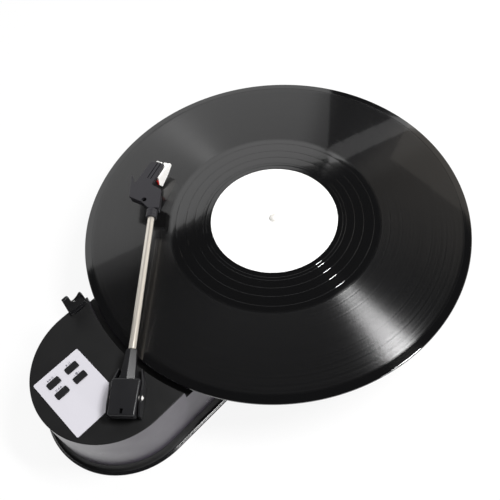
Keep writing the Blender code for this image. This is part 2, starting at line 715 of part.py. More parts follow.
def make_tray():
    """The flared plinth: lip, hollow flare and the rib that the housing stands over."""
    rings = [
        stadium(LIP_RADIUS - LIP_ROUND, FOOT_STAND),
        stadium(LIP_RADIUS, FOOT_STAND + LIP_ROUND),
        stadium(LIP_RADIUS, FOOT_STAND + LIP_HEIGHT - LIP_ROUND),
        stadium(LIP_RADIUS - LIP_ROUND, FOOT_STAND + LIP_HEIGHT),
    ]
    flare = LIP_RADIUS - LIP_TREAD - BASE_FOOT_RADIUS
    for i in range(COVE_STEPS + 1):
        angle = pi / 2 * i / COVE_STEPS
        radius = LIP_RADIUS - LIP_TREAD - flare * sin(angle)
        rings.append(stadium(radius, TRAY_TOP - COVE_HEIGHT * cos(angle)))
    rib = HOUSING_FOOT_INNER - GAP
    rings += [
        stadium(rib, TRAY_TOP),
        stadium(rib, TRAY_TOP + TRAY_RIB_HEIGHT),
        stadium(rib - TRAY_RIB_WALL, TRAY_TOP + TRAY_RIB_HEIGHT),
        stadium(rib - TRAY_RIB_WALL, TRAY_FLOOR_TOP),
    ]
    tray = lofted("bottom_tray", rings, "black_gloss")
    for i, place in enumerate(FEET):
        seat = (FOOT_STAND - OVERRUN, FOOT_STAND + FOOT_SEAT_DEPTH)
        cut(tray, rod(f"foot_seat_{i}", FOOT_RADIUS + GAP, *seat, centre=place))
    for i, place in enumerate(CASE_BOSSES):
        through = (FOOT_STAND - OVERRUN, TRAY_FLOOR_TOP + OVERRUN)
        seat = (FOOT_STAND - OVERRUN, FOOT_STAND + CASE_HEAD_HEIGHT + 2 * GAP)
        hole = pin(f"case_hole_{i}", CASE_SCREW_RADIUS + GAP, *through, place)
        cut(tray, hole, pin(f"case_sink_{i}", CASE_HEAD_RADIUS + GAP, *seat, place))
    seat = MAIN_BOARD_HEIGHT - GAP
    for i, place in enumerate(MAIN_BOARD_POSTS):
        join(tray, pin(f"main_post_{i}", BOARD_POST_RADIUS, FOOT_STAND + TRAY_FLOOR / 2, seat, place))
    bore = BOARD_SCREW_RADIUS + RUNNING_CLEARANCE
    cut(tray, pin("main_bore", bore, seat - BOARD_SCREW_LENGTH, seat + OVERRUN, MAIN_BOARD_POSTS[0]))
    peg = (seat - BOARD_PEG_LENGTH, seat + BOARD_PEG_LENGTH)
    join(tray, pin("main_peg", BOARD_SCREW_RADIUS, *peg, MAIN_BOARD_POSTS[1]))
    floor = (FOOT_STAND - OVERRUN, TRAY_FLOOR_TOP + OVERRUN)
    cut(tray, block("door_window", DOOR_WINDOW_X, DOOR_WINDOW_Y, floor))
    half_pin = DOOR_WINDOW_Y[1] + DOOR_PIN_LENGTH
    pin_bore = pin("door_pin_bore", DOOR_PIN_RADIUS + RUNNING_CLEARANCE, -half_pin, half_pin)
    cut(tray, put(pin_bore, (HINGE_X, 0, HINGE_Z), turn=(pi / 2, 0, 0)))
    for i in range(SPEAKER_SLOTS):
        x = SPEAKER_X + (i - (SPEAKER_SLOTS - 1) / 2) * SPEAKER_SLOT_PITCH
        reach = SPEAKER_RADIUS - SPEAKER_RIM
        half = (reach**2 - (x - SPEAKER_X) ** 2) ** 0.5
        cut(tray, block(f"speaker_slot_{i}", centred(x, SPEAKER_SLOT_WIDTH), (-half, half), floor))
    return tray


def make_housing():
    """The moulded housing: walls, raised deck, and the lower well that the platter turns in."""
    rings = [
        stadium(BASE_FOOT_RADIUS, HOUSING_BOTTOM),
        stadium(BASE_RADIUS, DECK_HEIGHT - DECK_ROUND),
        stadium(BASE_RADIUS - DECK_ROUND, DECK_HEIGHT),
    ]
    housing = lofted("upper_housing", rings, "black_satin")
    cavity = lofted("housing_cavity", [
        stadium(HOUSING_FOOT_INNER, HOUSING_BOTTOM - OVERRUN),
        stadium(HOUSING_INNER, WELL_UNDERSIDE),
    ])
    under_deck = (WELL_UNDERSIDE - OVERRUN, DECK_UNDERSIDE)
    deck_cavity = prism("deck_cavity", [stadium(HOUSING_INNER - GAP)], *under_deck)
    well_wall = rod("well_wall", WELL_RADIUS + HOUSING_WALL, WELL_UNDERSIDE - 2 * OVERRUN,
                    DECK_HEIGHT + OVERRUN, centre=SPINDLE, steps=RECORD_STEPS)
    well = rod("well", WELL_RADIUS, WELL_FLOOR, DECK_HEIGHT + OVERRUN, centre=SPINDLE, steps=RECORD_STEPS)
    cut(housing, cavity, cut(deck_cavity, well_wall), well)
    for i, place in enumerate(CASE_BOSSES):
        roof = (DECK_UNDERSIDE if place[0] < 0 else WELL_UNDERSIDE) + OVERRUN / 2
        boss = pin(f"case_boss_{i}", CASE_BOSS_RADIUS, TRAY_FLOOR_TOP + GAP, roof, place)
        bore = (TRAY_FLOOR_TOP - OVERRUN, TRAY_FLOOR_TOP + CASE_SCREW_LENGTH)
        hole = pin(f"case_bore_{i}", CASE_SCREW_RADIUS + RUNNING_CLEARANCE, *bore, place)
        cut(join(housing, boss), hole)
    seat = SWITCH_BOARD_TOP + GAP
    for i, place in enumerate(SWITCH_BOARD_POSTS):
        roof = DECK_HEIGHT - DECK_THICKNESS / 2
        join(housing, pin(f"switch_post_{i}", BOARD_POST_RADIUS, seat, roof, place))
    bore = BOARD_SCREW_RADIUS + RUNNING_CLEARANCE
    cut(housing, pin("switch_bore", bore, seat - OVERRUN, seat + BOARD_SCREW_LENGTH, SWITCH_BOARD_POSTS[0]))
    peg = (seat - BOARD_PEG_LENGTH, seat + BOARD_PEG_LENGTH)
    join(housing, pin("switch_peg", BOARD_SCREW_RADIUS, *peg, SWITCH_BOARD_POSTS[1]))
    bush_outer = SPINDLE_SHAFT_RADIUS + RUNNING_CLEARANCE + BUSH_WALL
    boss = rod("bearing_boss", bush_outer + BEARING_BOSS_WALL, WELL_UNDERSIDE - BEARING_BOSS_LENGTH,
               WELL_FLOOR - DECK_THICKNESS / 2, centre=SPINDLE)
    bore = rod("bearing_bore", bush_outer + RUNNING_CLEARANCE, WELL_UNDERSIDE - BEARING_BOSS_LENGTH - OVERRUN,
               WELL_FLOOR + OVERRUN, centre=SPINDLE)
    cut(join(housing, boss), bore)
    through_well = (WELL_UNDERSIDE - OVERRUN, WELL_FLOOR + OVERRUN)
    cut(housing, rod("motor_boss_hole", MOTOR_BOSS_RADIUS + GAP, *through_well, centre=PULLEY_CENTRE))
    for side in (-1, 1):
        place = PULLEY_CENTRE + Vector((side * MOTOR_SCREW_SPREAD, 0))
        cut(housing, pin(f"motor_screw_hole_{side}", MOTOR_SCREW_RADIUS + GAP, *through_well, place))
    through_deck = (DECK_UNDERSIDE - OVERRUN, DECK_HEIGHT + OVERRUN)
    cut(housing, rod("turret_hole", TURRET_BARREL_RADIUS + GAP, *through_deck, centre=PIVOT))
    seat = (DECK_HEIGHT - PLATE_SEAT_DEPTH, DECK_HEIGHT + OVERRUN)
    cut(housing, prism("plate_seat", [plate_outline(GAP)], *seat))
    for i, place in enumerate(BUTTON_PLACES):
        window = button_outline(place, BUTTON_SLACK)
        cut(housing, prism(f"button_hole_{i}", [window], *through_deck))
    tang_x = centred(REST_LEFT_X + REST_WIDTH / 2, REST_TANG_LENGTH + 2 * GAP)
    tang_y = (rest_tang_y()[0] - GAP, rest_tang_y()[1] + GAP)
    cut(housing, block("rest_slot", tang_x, tang_y, through_deck))
    cut(housing, *back_wall_cutters())
    return housing


def back_wall_cutters():
    """The openings in the back wall for the sockets, the volume wheel and the speed knob."""
    wall = (HOUSING_INNER - OVERRUN, BASE_FOOT_RADIUS + OVERRUN)
    usb = block("usb_window", centred(USB_X, USB_WIDTH + 2 * GAP), wall,
                (PART_SEAT - GAP, PART_SEAT + USB_HEIGHT + GAP))
    jack = block("jack_window", centred(JACK_X, JACK_WIDTH + 2 * GAP), wall,
                 (PART_SEAT - GAP, PART_SEAT + JACK_HEIGHT + GAP))
    wheel_low = volume_wheel_bottom() - 2 * GAP
    wheel = rod("volume_window", VOLUME_RADIUS + 2 * GAP, wheel_low, wheel_low + VOLUME_THICKNESS + 4 * GAP,
                centre=(VOLUME_X, VOLUME_Y))
    knob_x = (SPEED_X - SPEED_TRAVEL / 2 - SPEED_KNOB_LENGTH / 2 - GAP,
              SPEED_X + SPEED_TRAVEL / 2 + SPEED_KNOB_LENGTH / 2 + GAP)
    knob_z = centred(PART_SEAT + SPEED_BODY_HEIGHT / 2, SPEED_KNOB_HEIGHT + 2 * GAP)
    return usb, jack, wheel, block("speed_window", knob_x, wall, knob_z)


def plate_outline(margin):
    """The control plate's outline, its corner next to the arm cut off."""
    x = (PLATE_CENTRE[0] - PLATE_LENGTH / 2 - margin, PLATE_CENTRE[0] + PLATE_LENGTH / 2 + margin)
    y = (PLATE_CENTRE[1] - PLATE_WIDTH / 2 - margin, PLATE_CENTRE[1] + PLATE_WIDTH / 2 + margin)
    corners = rounded(x, y, PLATE_CORNER + margin)
    return [(x[1] - PLATE_CUT_LENGTH, y[0]), (x[1], y[0] + PLATE_CUT_WIDTH)] + corners[CORNER_STEPS + 1 :]


def button_outline(place, margin):
    x = centred(place[0], BUTTON_LENGTH + 2 * margin)
    return rounded(x, centred(place[1], BUTTON_WIDTH + 2 * margin), BUTTON_CORNER + margin)


def make_controls():
    """The pale plate, its four buttons and the switch board that they press."""
    windows = [button_outline(place, BUTTON_SLACK / 2) for place in BUTTON_PLACES]
    plate_z = (PLATE_TOP - PLATE_THICKNESS, PLATE_TOP)
    prism("control_plate", [plate_outline(0), *windows], *plate_z, "plate_white")
    for name, place in zip(BUTTON_NAMES, BUTTON_PLACES):
        flange_low = BUTTON_FLANGE_TOP - BUTTON_FLANGE_THICKNESS
        cap = prism(name, [button_outline((0, 0), 0)], BUTTON_FLANGE_TOP - WELD_DISTANCE - PLATE_TOP,
                    BUTTON_RISE, "black_satin")
        flange = prism(name + "_flange", [button_outline((0, 0), BUTTON_FLANGE)], flange_low - PLATE_TOP,
                       BUTTON_FLANGE_TOP - PLATE_TOP)
        stem = pin(name + "_stem", BUTTON_STEM_RADIUS, BUTTON_STEM_END - PLATE_TOP,
                   BUTTON_FLANGE_TOP - BUTTON_FLANGE_THICKNESS / 2 - PLATE_TOP)
        at = (place[0], place[1], PLATE_TOP)
        join(put(cap, at), put(flange, at), put(stem, at))
    board_x = centred(PLATE_CENTRE[0], SWITCH_BOARD_LENGTH)
    board_y = centred(PLATE_CENTRE[1] + BUTTON_ROW_Y, SWITCH_BOARD_WIDTH)
    board_low = SWITCH_BOARD_TOP - BOARD_THICKNESS
    board = block("switch_board", board_x, board_y, (board_low, SWITCH_BOARD_TOP), "board_green")
    for i, place in enumerate(BUTTON_PLACES):
        body = block(f"switch_body_{i}", centred(place[0], SWITCH_SIDE), centred(place[1], SWITCH_SIDE),
                     (SWITCH_BOARD_TOP - BOARD_THICKNESS / 2, SWITCH_BOARD_TOP + SWITCH_HEIGHT))
        plunger = pin(f"switch_plunger_{i}", SWITCH_PLUNGER_RADIUS, SWITCH_BOARD_TOP + SWITCH_HEIGHT / 2,
                      SWITCH_BOARD_TOP + SWITCH_HEIGHT + SWITCH_PLUNGER_HEIGHT, place)
        join(board, body, plunger)
    for i, place in enumerate(SWITCH_BOARD_POSTS):
        cut(board, pin(f"switch_board_hole_{i}", BOARD_SCREW_RADIUS + GAP, board_low - OVERRUN,
                       SWITCH_BOARD_TOP + OVERRUN, place))
    screw_piece("switch_board_screw", SWITCH_BOARD_POSTS[0], board_low - GAP - BOARD_HEAD_HEIGHT,
                BOARD_HEAD_RADIUS, BOARD_HEAD_HEIGHT, BOARD_SCREW_RADIUS, BOARD_SCREW_LENGTH, up=True)


def make_feet_and_screws():
    for i, place in enumerate(FEET):
        top = FOOT_STAND + FOOT_SEAT_DEPTH - GAP
        profile = [
            (0, top),
            (FOOT_RADIUS, top),
            (FOOT_RADIUS, FOOT_ROUND),
            (FOOT_RADIUS - FOOT_ROUND, 0),
            (0, 0),
        ]
        put(turned(f"foot_{i + 1}", profile, "rubber", SMALL_STEPS), (place[0], place[1], 0))
    for i, place in enumerate(CASE_BOSSES):
        screw_piece(f"case_screw_{i + 1}", place, FOOT_STAND + GAP, CASE_HEAD_RADIUS, CASE_HEAD_HEIGHT,
                    CASE_SCREW_RADIUS, CASE_SCREW_LENGTH - OVERRUN, up=True)


def rest_tang_y():
    middle = REST_FRONT_Y - REST_FOOT_DEPTH / 2
    return centred(middle, REST_TANG_THICKNESS)


def make_arm_rest():
    """The fork at the deck's edge that takes the arm when it is parked."""
    outline = [(REST_WIDTH * across, REST_HEIGHT * up) for across, up in REST_OUTLINE_SHARES]
    rest = prism("arm_rest", [outline], -REST_THICKNESS, 0, "black_satin")
    put(rest, (REST_LEFT_X, REST_FRONT_Y, DECK_HEIGHT + GAP), turn=(pi / 2, 0, 0))
    foot_x = (REST_LEFT_X, REST_LEFT_X + REST_WIDTH)
    foot_y = (REST_FRONT_Y - REST_FOOT_DEPTH, REST_FRONT_Y + REST_THICKNESS / 2)
    foot_z = (DECK_HEIGHT + GAP, DECK_HEIGHT + GAP + REST_FOOT_THICKNESS)
    foot = block("rest_foot", foot_x, foot_y, foot_z)
    tang_z = (DECK_HEIGHT - REST_TANG_DEPTH, DECK_HEIGHT + GAP + REST_FOOT_THICKNESS / 2)
    tang = block("rest_tang", centred(sum(foot_x) / 2, REST_TANG_LENGTH), rest_tang_y(), tang_z)
    return join(rest, foot, tang)


def clip(name, shaft_radius, low, centre):
    """A spring clip that sits in a shaft's groove, open on one side."""
    inner = shaft_radius - CLIP_GROOVE_DEPTH + RUNNING_CLEARANCE
    outer = shaft_radius + CLIP_WIDTH
    opening = atan2(CLIP_MOUTH / 2, inner)
    turn = 2 * pi - 2 * opening
    angles = [opening + turn * i / SMALL_STEPS for i in range(SMALL_STEPS + 1)]
    outline = [(outer * cos(a), outer * sin(a)) for a in angles]
    outline += [(inner * cos(a), inner * sin(a)) for a in reversed(angles)]
    return put(prism(name, [outline], low, low + CLIP_THICKNESS, "steel"), (centre[0], centre[1], 0))


def belt_outline(margin):
    """The loop round the platter's drive ring and the pulley, at this distance outside both."""
    ring = DRIVE_RING_RADIUS + margin
    pulley = PULLEY_RADIUS + margin
    lean = acos((ring - pulley) / PULLEY_DISTANCE)
    points = []
    for i in range(PLATTER_STEPS + 1):
        angle = pi + lean + (2 * pi - 2 * lean) * i / PLATTER_STEPS
        points.append((ring * cos(angle), ring * sin(angle)))
    for i in range(SMALL_STEPS + 1):
        angle = pi - lean + 2 * lean * i / SMALL_STEPS
        points.append((pulley * cos(angle) - PULLEY_DISTANCE, pulley * sin(angle)))
    return [(SPINDLE_X + x, y) for x, y in points]


def make_platter():
    """Platter with its drive ring, mat, spindle, bush and clip."""
    at = (SPINDLE_X, 0, 0)
    bore = SPINDLE_SHAFT_RADIUS + RUNNING_CLEARANCE
    skirt = WELL_FLOOR + PLATTER_FLOOR_CLEARANCE
    profile = [
        (bore, PLATTER_TOP),
        (PLATTER_RADIUS - PLATTER_EDGE_ROUND, PLATTER_TOP),
        (PLATTER_RADIUS, PLATTER_TOP - PLATTER_EDGE_ROUND),
        (PLATTER_RADIUS, skirt),
        (PLATTER_RADIUS - PLATTER_RING_WALL, skirt),
        (PLATTER_RADIUS - PLATTER_RING_WALL, PLATTER_UNDERSIDE),
        (DRIVE_RING_RADIUS, PLATTER_UNDERSIDE),
        (DRIVE_RING_RADIUS, skirt),
        (DRIVE_RING_RADIUS - PLATTER_RING_WALL, skirt),
        (DRIVE_RING_RADIUS - PLATTER_RING_WALL, PLATTER_UNDERSIDE),
        (PLATTER_HUB_RADIUS, PLATTER_UNDERSIDE),
        (PLATTER_HUB_RADIUS, BUSH_TOP + GAP),
        (bore, BUSH_TOP + GAP),
    ]
    put(turned("platter", profile, "black_satin", PLATTER_STEPS), at)
    mat_radius = PLATTER_RADIUS - MAT_MARGIN
    mat = [
        (SPINDLE_PIN_RADIUS + GAP, MAT_TOP),
        (mat_radius, MAT_TOP),
        (mat_radius, MAT_TOP - MAT_THICKNESS),
        (SPINDLE_PIN_RADIUS + GAP, MAT_TOP - MAT_THICKNESS),
    ]
    put(turned("platter_mat", mat, "rubber", PLATTER_STEPS), at)
    boss_end = WELL_UNDERSIDE - BEARING_BOSS_LENGTH
    clip_top = boss_end - GAP
    groove = (clip_top + GAP / 2, clip_top - CLIP_THICKNESS - GAP / 2)
    pin_top = RECORD_TOP + SPINDLE_PIN_RISE
    spindle = [
        (0, pin_top),
        (SPINDLE_PIN_RADIUS / 2, pin_top - SPINDLE_PIN_RISE * 0.12),
        (SPINDLE_PIN_RADIUS * 0.85, pin_top - SPINDLE_PIN_RISE * 0.42),
        (SPINDLE_PIN_RADIUS, pin_top - SPINDLE_PIN_RISE * 0.9),
        (SPINDLE_PIN_RADIUS, PLATTER_TOP + GAP),
        (SPINDLE_SHAFT_RADIUS, PLATTER_TOP + GAP),
        (SPINDLE_SHAFT_RADIUS, groove[0]),
        (SPINDLE_SHAFT_RADIUS - CLIP_GROOVE_DEPTH, groove[0]),
        (SPINDLE_SHAFT_RADIUS - CLIP_GROOVE_DEPTH, groove[1]),
        (SPINDLE_SHAFT_RADIUS, groove[1]),
        (SPINDLE_SHAFT_RADIUS, groove[1] - SPINDLE_TAIL),
        (0, groove[1] - SPINDLE_TAIL),
    ]
    put(turned("spindle", spindle, "steel"), at)
    clip("spindle_clip", SPINDLE_SHAFT_RADIUS, clip_top - CLIP_THICKNESS, SPINDLE)
    outer = bore + BUSH_WALL
    bush = [
        (bore, BUSH_TOP),
        (outer + BUSH_FLANGE_WIDTH, BUSH_TOP),
        (outer + BUSH_FLANGE_WIDTH, WELL_FLOOR + GAP),
        (outer, WELL_FLOOR + GAP),
        (outer, boss_end),
        (bore, boss_end),
    ]
    put(turned("bearing_bush", bush, "brass"), at)


def make_drive():
    """Motor can, the shaft with its armature, the pulley, the belt and the motor's screws."""
    at = (PULLEY_CENTRE[0], PULLEY_CENTRE[1], 0)
    motor_top = WELL_UNDERSIDE - GAP
    armature_top = motor_top - MOTOR_ROOF - GAP
    shaft_end = armature_top - ARMATURE_HEIGHT
    bore = MOTOR_SHAFT_RADIUS + RUNNING_CLEARANCE
    belt_low = WELL_FLOOR + BELT_ABOVE_WELL
    belt_high = belt_low + BELT_HEIGHT
    profile = [
        (0, shaft_end - GAP),
        (ARMATURE_RADIUS + GAP, shaft_end - GAP),
        (ARMATURE_RADIUS + GAP, armature_top + GAP),
        (bore, armature_top + GAP),
        (bore, WELL_FLOOR),
        (MOTOR_BOSS_RADIUS, WELL_FLOOR),
        (MOTOR_BOSS_RADIUS, motor_top),
        (MOTOR_RADIUS - MOTOR_EDGE_ROUND, motor_top),
        (MOTOR_RADIUS, motor_top - MOTOR_EDGE_ROUND),
        (MOTOR_RADIUS, motor_top - MOTOR_HEIGHT),
        (0, motor_top - MOTOR_HEIGHT),
    ]
    motor = put(turned("drive_motor", profile, "steel"), at)
    for i, side in enumerate((-1, 1)):
        place = PULLEY_CENTRE + Vector((side * MOTOR_SCREW_SPREAD, 0))
        bottom = WELL_FLOOR + GAP - MOTOR_SCREW_LENGTH
        tap = (bottom - GAP, motor_top + OVERRUN)
        cut(motor, pin(f"motor_tap_{i}", MOTOR_SCREW_RADIUS + RUNNING_CLEARANCE, *tap, place))
        screw_piece(f"motor_screw_{i + 1}", place, WELL_FLOOR + GAP + MOTOR_HEAD_HEIGHT, MOTOR_HEAD_RADIUS,
                    MOTOR_HEAD_HEIGHT, MOTOR_SCREW_RADIUS, MOTOR_SCREW_LENGTH)
    flange_top = belt_high + BELT_SLACK + PULLEY_FLANGE_THICKNESS
    flange_low = belt_low - BELT_SLACK - PULLEY_FLANGE_THICKNESS
    shaft = [
        (0, flange_top),
        (MOTOR_SHAFT_RADIUS, flange_top),
        (MOTOR_SHAFT_RADIUS, armature_top),
        (ARMATURE_RADIUS, armature_top),
        (ARMATURE_RADIUS, shaft_end),
        (0, shaft_end),
    ]
    put(turned("motor_shaft", shaft, "steel"), at)
    rim = PULLEY_RADIUS + PULLEY_FLANGE
    pulley = [
        (bore, flange_top),
        (rim, flange_top),
        (rim, belt_high + BELT_SLACK),
        (PULLEY_RADIUS, belt_high + BELT_SLACK),
        (PULLEY_RADIUS, belt_low - BELT_SLACK),
        (rim, belt_low - BELT_SLACK),
        (rim, flange_low),
        (bore, flange_low),
    ]
    put(turned("motor_pulley", pulley, "brass", SMALL_STEPS), at)
    loops = [belt_outline(BELT_SLACK + BELT_THICKNESS), belt_outline(BELT_SLACK)]
    prism("drive_belt", loops, belt_low, belt_high, "rubber")


def make_record():
    """The twelve-inch record: sunk grooves, raised rim bead and a paper label in its seat."""
    at = (SPINDLE_X, 0, 0)
    land = RECORD_TOP - LABEL_SEAT_DEPTH
    seat = LABEL_RADIUS + LABEL_SEAT_MARGIN
    bead = RECORD_RADIUS - RECORD_BEAD_WIDTH
    profile = [
        (RECORD_HOLE_RADIUS, land),
        (seat, land),
        (seat, GROOVE_TOP),
        (bead - RECORD_BEAD_SLOPE, GROOVE_TOP),
        (bead, RECORD_TOP),
        (RECORD_RADIUS - RECORD_EDGE_ROUND, RECORD_TOP),
        (RECORD_RADIUS, RECORD_TOP - RECORD_EDGE_ROUND),
        (RECORD_RADIUS, RECORD_UNDERSIDE + RECORD_EDGE_ROUND),
        (RECORD_RADIUS - RECORD_EDGE_ROUND, RECORD_UNDERSIDE),
        (RECORD_HOLE_RADIUS, RECORD_UNDERSIDE),
    ]
    put(turned("record", profile, "record_black", RECORD_STEPS), at)
    label = [
        (RECORD_HOLE_RADIUS, RECORD_TOP),
        (LABEL_RADIUS, RECORD_TOP),
        (LABEL_RADIUS, RECORD_TOP - LABEL_THICKNESS),
        (RECORD_HOLE_RADIUS, RECORD_TOP - LABEL_THICKNESS),
    ]
    put(turned("record_label", label, "label_white", PLATTER_STEPS), at)


def make_arm_stand():
    """The fixed turret and its nut, and the upright shaft that turns in it."""
    at = (PIVOT[0], PIVOT[1], 0)
    bore = ARM_SHAFT_RADIUS + RUNNING_CLEARANCE
    turret = [
        (bore, TURRET_TOP),
        (TURRET_FLANGE_RADIUS, TURRET_TOP),
        (TURRET_FLANGE_RADIUS, DECK_HEIGHT + GAP),
        (TURRET_BARREL_RADIUS, DECK_HEIGHT + GAP),
        (TURRET_BARREL_RADIUS, TURRET_BOTTOM),
        (bore, TURRET_BOTTOM),
    ]
    put(turned("arm_turret", turret, "black_satin"), at)
    corners = ring(TURRET_NUT_RADIUS, NUT_SIDES)
    hole = TURRET_BARREL_RADIUS + RUNNING_CLEARANCE
    nut_top = DECK_UNDERSIDE - GAP
    nut_z = (nut_top - TURRET_NUT_THICKNESS, nut_top)
    put(prism("turret_nut", [corners, ring(hole, ROUND_STEPS)], *nut_z, "brass"), at)


def make_arm_swing(swing):
    """The pieces that only swing: shaft with its clip, the cheeked yoke and its cross pin."""
    floor = YOKE_BOTTOM - PIN_HEIGHT
    floor_top = YOKE_FLOOR_TOP - PIN_HEIGHT
    crest = YOKE_ABOVE_PIN

    def outline(inset):
        """Half of the plan outline, mirrored: straight past the pin and narrowing forwards."""
        half = [
            (-YOKE_REAR, YOKE_HALF_WIDTH - inset),
            (YOKE_WAIST, YOKE_HALF_WIDTH - inset),
            (YOKE_FRONT, YOKE_FRONT_HALF_WIDTH - inset),
        ]
        return [(x, -y) for x, y in half] + [(x, y) for x, y in reversed(half)]

    yoke = put(prism("arm_yoke", [outline(0)], floor, crest, "black_satin"), parent=swing)
    hollow = outline(YOKE_CHEEK)
    stretched = [(x * (1 + OVERRUN / YOKE_REAR), y) for x, y in hollow]
    cut(yoke, put(prism("yoke_hollow", [stretched], floor_top, crest + OVERRUN), parent=swing))
    side_view = [
        (-YOKE_REAR - OVERRUN, floor - OVERRUN),
        (YOKE_FRONT + OVERRUN, floor - OVERRUN),
        (YOKE_FRONT + OVERRUN, crest - YOKE_FRONT_DROP),
        (YOKE_TOP_HALF_LENGTH, crest),
        (-YOKE_TOP_HALF_LENGTH, crest),
        (-YOKE_REAR - OVERRUN, crest - YOKE_REAR_DROP),
    ]
    half = YOKE_HALF_WIDTH + OVERRUN
    side = put(prism("yoke_side", [side_view], -half, half), parent=swing, turn=(pi / 2, 0, 0))
    boolean(yoke, side, "INTERSECT")
    inner = YOKE_HALF_WIDTH - YOKE_CHEEK
    back = block("yoke_back", (-YOKE_REAR - OVERRUN, -YOKE_FLOOR_REAR), (-inner, inner),
                 (floor - OVERRUN, floor_top + OVERRUN))
    cut(yoke, put(back, parent=swing))
    through = (floor - OVERRUN, floor_top + OVERRUN)
    cut(yoke, put(rod("yoke_bore", ARM_SHAFT_RADIUS + RUNNING_CLEARANCE, *through), parent=swing))
    pin_hole = pin("yoke_pin_hole", PIN_RADIUS + RUNNING_CLEARANCE, -half, half)
    cut(yoke, put(pin_hole, parent=swing, turn=(pi / 2, 0, 0)))
    cross_pin = [
        (0, YOKE_HALF_WIDTH + PIN_DOME),
        (PIN_RADIUS / 2, YOKE_HALF_WIDTH + PIN_DOME),
        (PIN_RADIUS, YOKE_HALF_WIDTH),
        (PIN_RADIUS, -YOKE_HALF_WIDTH),
        (PIN_RADIUS / 2, -YOKE_HALF_WIDTH - PIN_DOME),
        (0, -YOKE_HALF_WIDTH - PIN_DOME),
    ]
    put(turned("arm_pivot_pin", cross_pin, "steel", SMALL_STEPS), parent=swing, turn=(pi / 2, 0, 0))
    head_low = YOKE_FLOOR_TOP + GAP - PIN_HEIGHT
    clip_top = TURRET_BOTTOM - GAP
    groove = (clip_top + GAP / 2 - PIN_HEIGHT, clip_top - CLIP_THICKNESS - GAP / 2 - PIN_HEIGHT)
    neck = ARM_SHAFT_RADIUS - CLIP_GROOVE_DEPTH
    shaft = [
        (0, head_low + ARM_SHAFT_HEAD_HEIGHT),
        (ARM_SHAFT_HEAD_RADIUS, head_low + ARM_SHAFT_HEAD_HEIGHT),
        (ARM_SHAFT_HEAD_RADIUS, head_low),
        (ARM_SHAFT_RADIUS, head_low),
        (ARM_SHAFT_RADIUS, groove[0]),
        (neck, groove[0]),
        (neck, groove[1]),
        (ARM_SHAFT_RADIUS, groove[1]),
        (ARM_SHAFT_RADIUS, groove[1] - SPINDLE_TAIL),
        (0, groove[1] - SPINDLE_TAIL),
    ]
    put(turned("arm_shaft", shaft, "steel"), parent=swing)
    spring = clip("arm_shaft_clip", ARM_SHAFT_RADIUS, clip_top - CLIP_THICKNESS - PIN_HEIGHT, (0, 0))
    put(spring, parent=swing)


def neck_section(x, half_width, half_height, rise):
    """A six-sided section with a ridge on top, square to the arm."""
    side = half_height * 0.35
    points = (
        (0, half_height),
        (half_width, side),
        (half_width, -side),
        (0, -half_height),
        (-half_width, -side),
        (-half_width, side),
    )
    return [(x, y, z + rise) for y, z in points]


def make_arm_cover(lift, slope):
    """The lifting cover between the cheeks, with the ridged neck that holds the tube."""
    def plan(inset):
        front = COVER_FRONT_HALF_WIDTH - inset
        rear = COVER_REAR_HALF_WIDTH - inset
        return [(-COVER_REAR + inset, -rear), (COVER_FRONT - inset, -front), (COVER_FRONT - inset, front),
                (-COVER_REAR + inset, rear)]

    cover = put(prism("arm_cover", [plan(0)], -COVER_BELOW_PIN, COVER_ABOVE_PIN, "black_satin"), parent=lift)
    bevelled(cover, COVER_EDGE)
    under_roof = (-COVER_BELOW_PIN - OVERRUN, COVER_ABOVE_PIN - COVER_WALL)
    hollow = prism("cover_hollow", [plan(COVER_WALL)], *under_roof)
    root = COVER_FRONT - COVER_WALL / 2
    neck = lofted("arm_neck", [
        neck_section(root, NECK_ROOT_HALF_WIDTH, NECK_ROOT_HALF_HEIGHT, 0),
        neck_section(NECK_END, NECK_TIP_HALF_WIDTH, NECK_TIP_HALF_HEIGHT, 0),
    ])
    join(cut(cover, put(hollow, parent=lift)), put(neck, parent=slope))
    bore = pin("neck_bore", TUBE_RADIUS + RUNNING_CLEARANCE, NECK_END - NECK_BORE_DEPTH, NECK_END + OVERRUN)
    cut(cover, put(bore, parent=slope, turn=(0, pi / 2, 0)))
    half = COVER_FRONT_HALF_WIDTH + OVERRUN
    pin_hole = pin("cover_pin_hole", PIN_RADIUS + RUNNING_CLEARANCE, -half, half)
    cut(cover, put(pin_hole, parent=lift, turn=(pi / 2, 0, 0)))
    slot_z = (COVER_ABOVE_PIN - COVER_WALL - OVERRUN, COVER_ABOVE_PIN + OVERRUN)
    slot_x = centred(-COVER_SLOT_REAR, COVER_SLOT_LENGTH)
    slot = block("cover_slot", slot_x, centred(0, COVER_SLOT_WIDTH), slot_z)
    cut(cover, put(slot, parent=lift))
    weight_x = (-COVER_REAR + COVER_WALL + GAP, -COVER_REAR + COVER_WALL + GAP + WEIGHT_LENGTH)
    weight_top = COVER_ABOVE_PIN - COVER_WALL - GAP
    weight = block("arm_weight", weight_x, (-WEIGHT_HALF_WIDTH, WEIGHT_HALF_WIDTH),
                   (weight_top - WEIGHT_HEIGHT, weight_top), "zinc")
    put(weight, parent=lift)


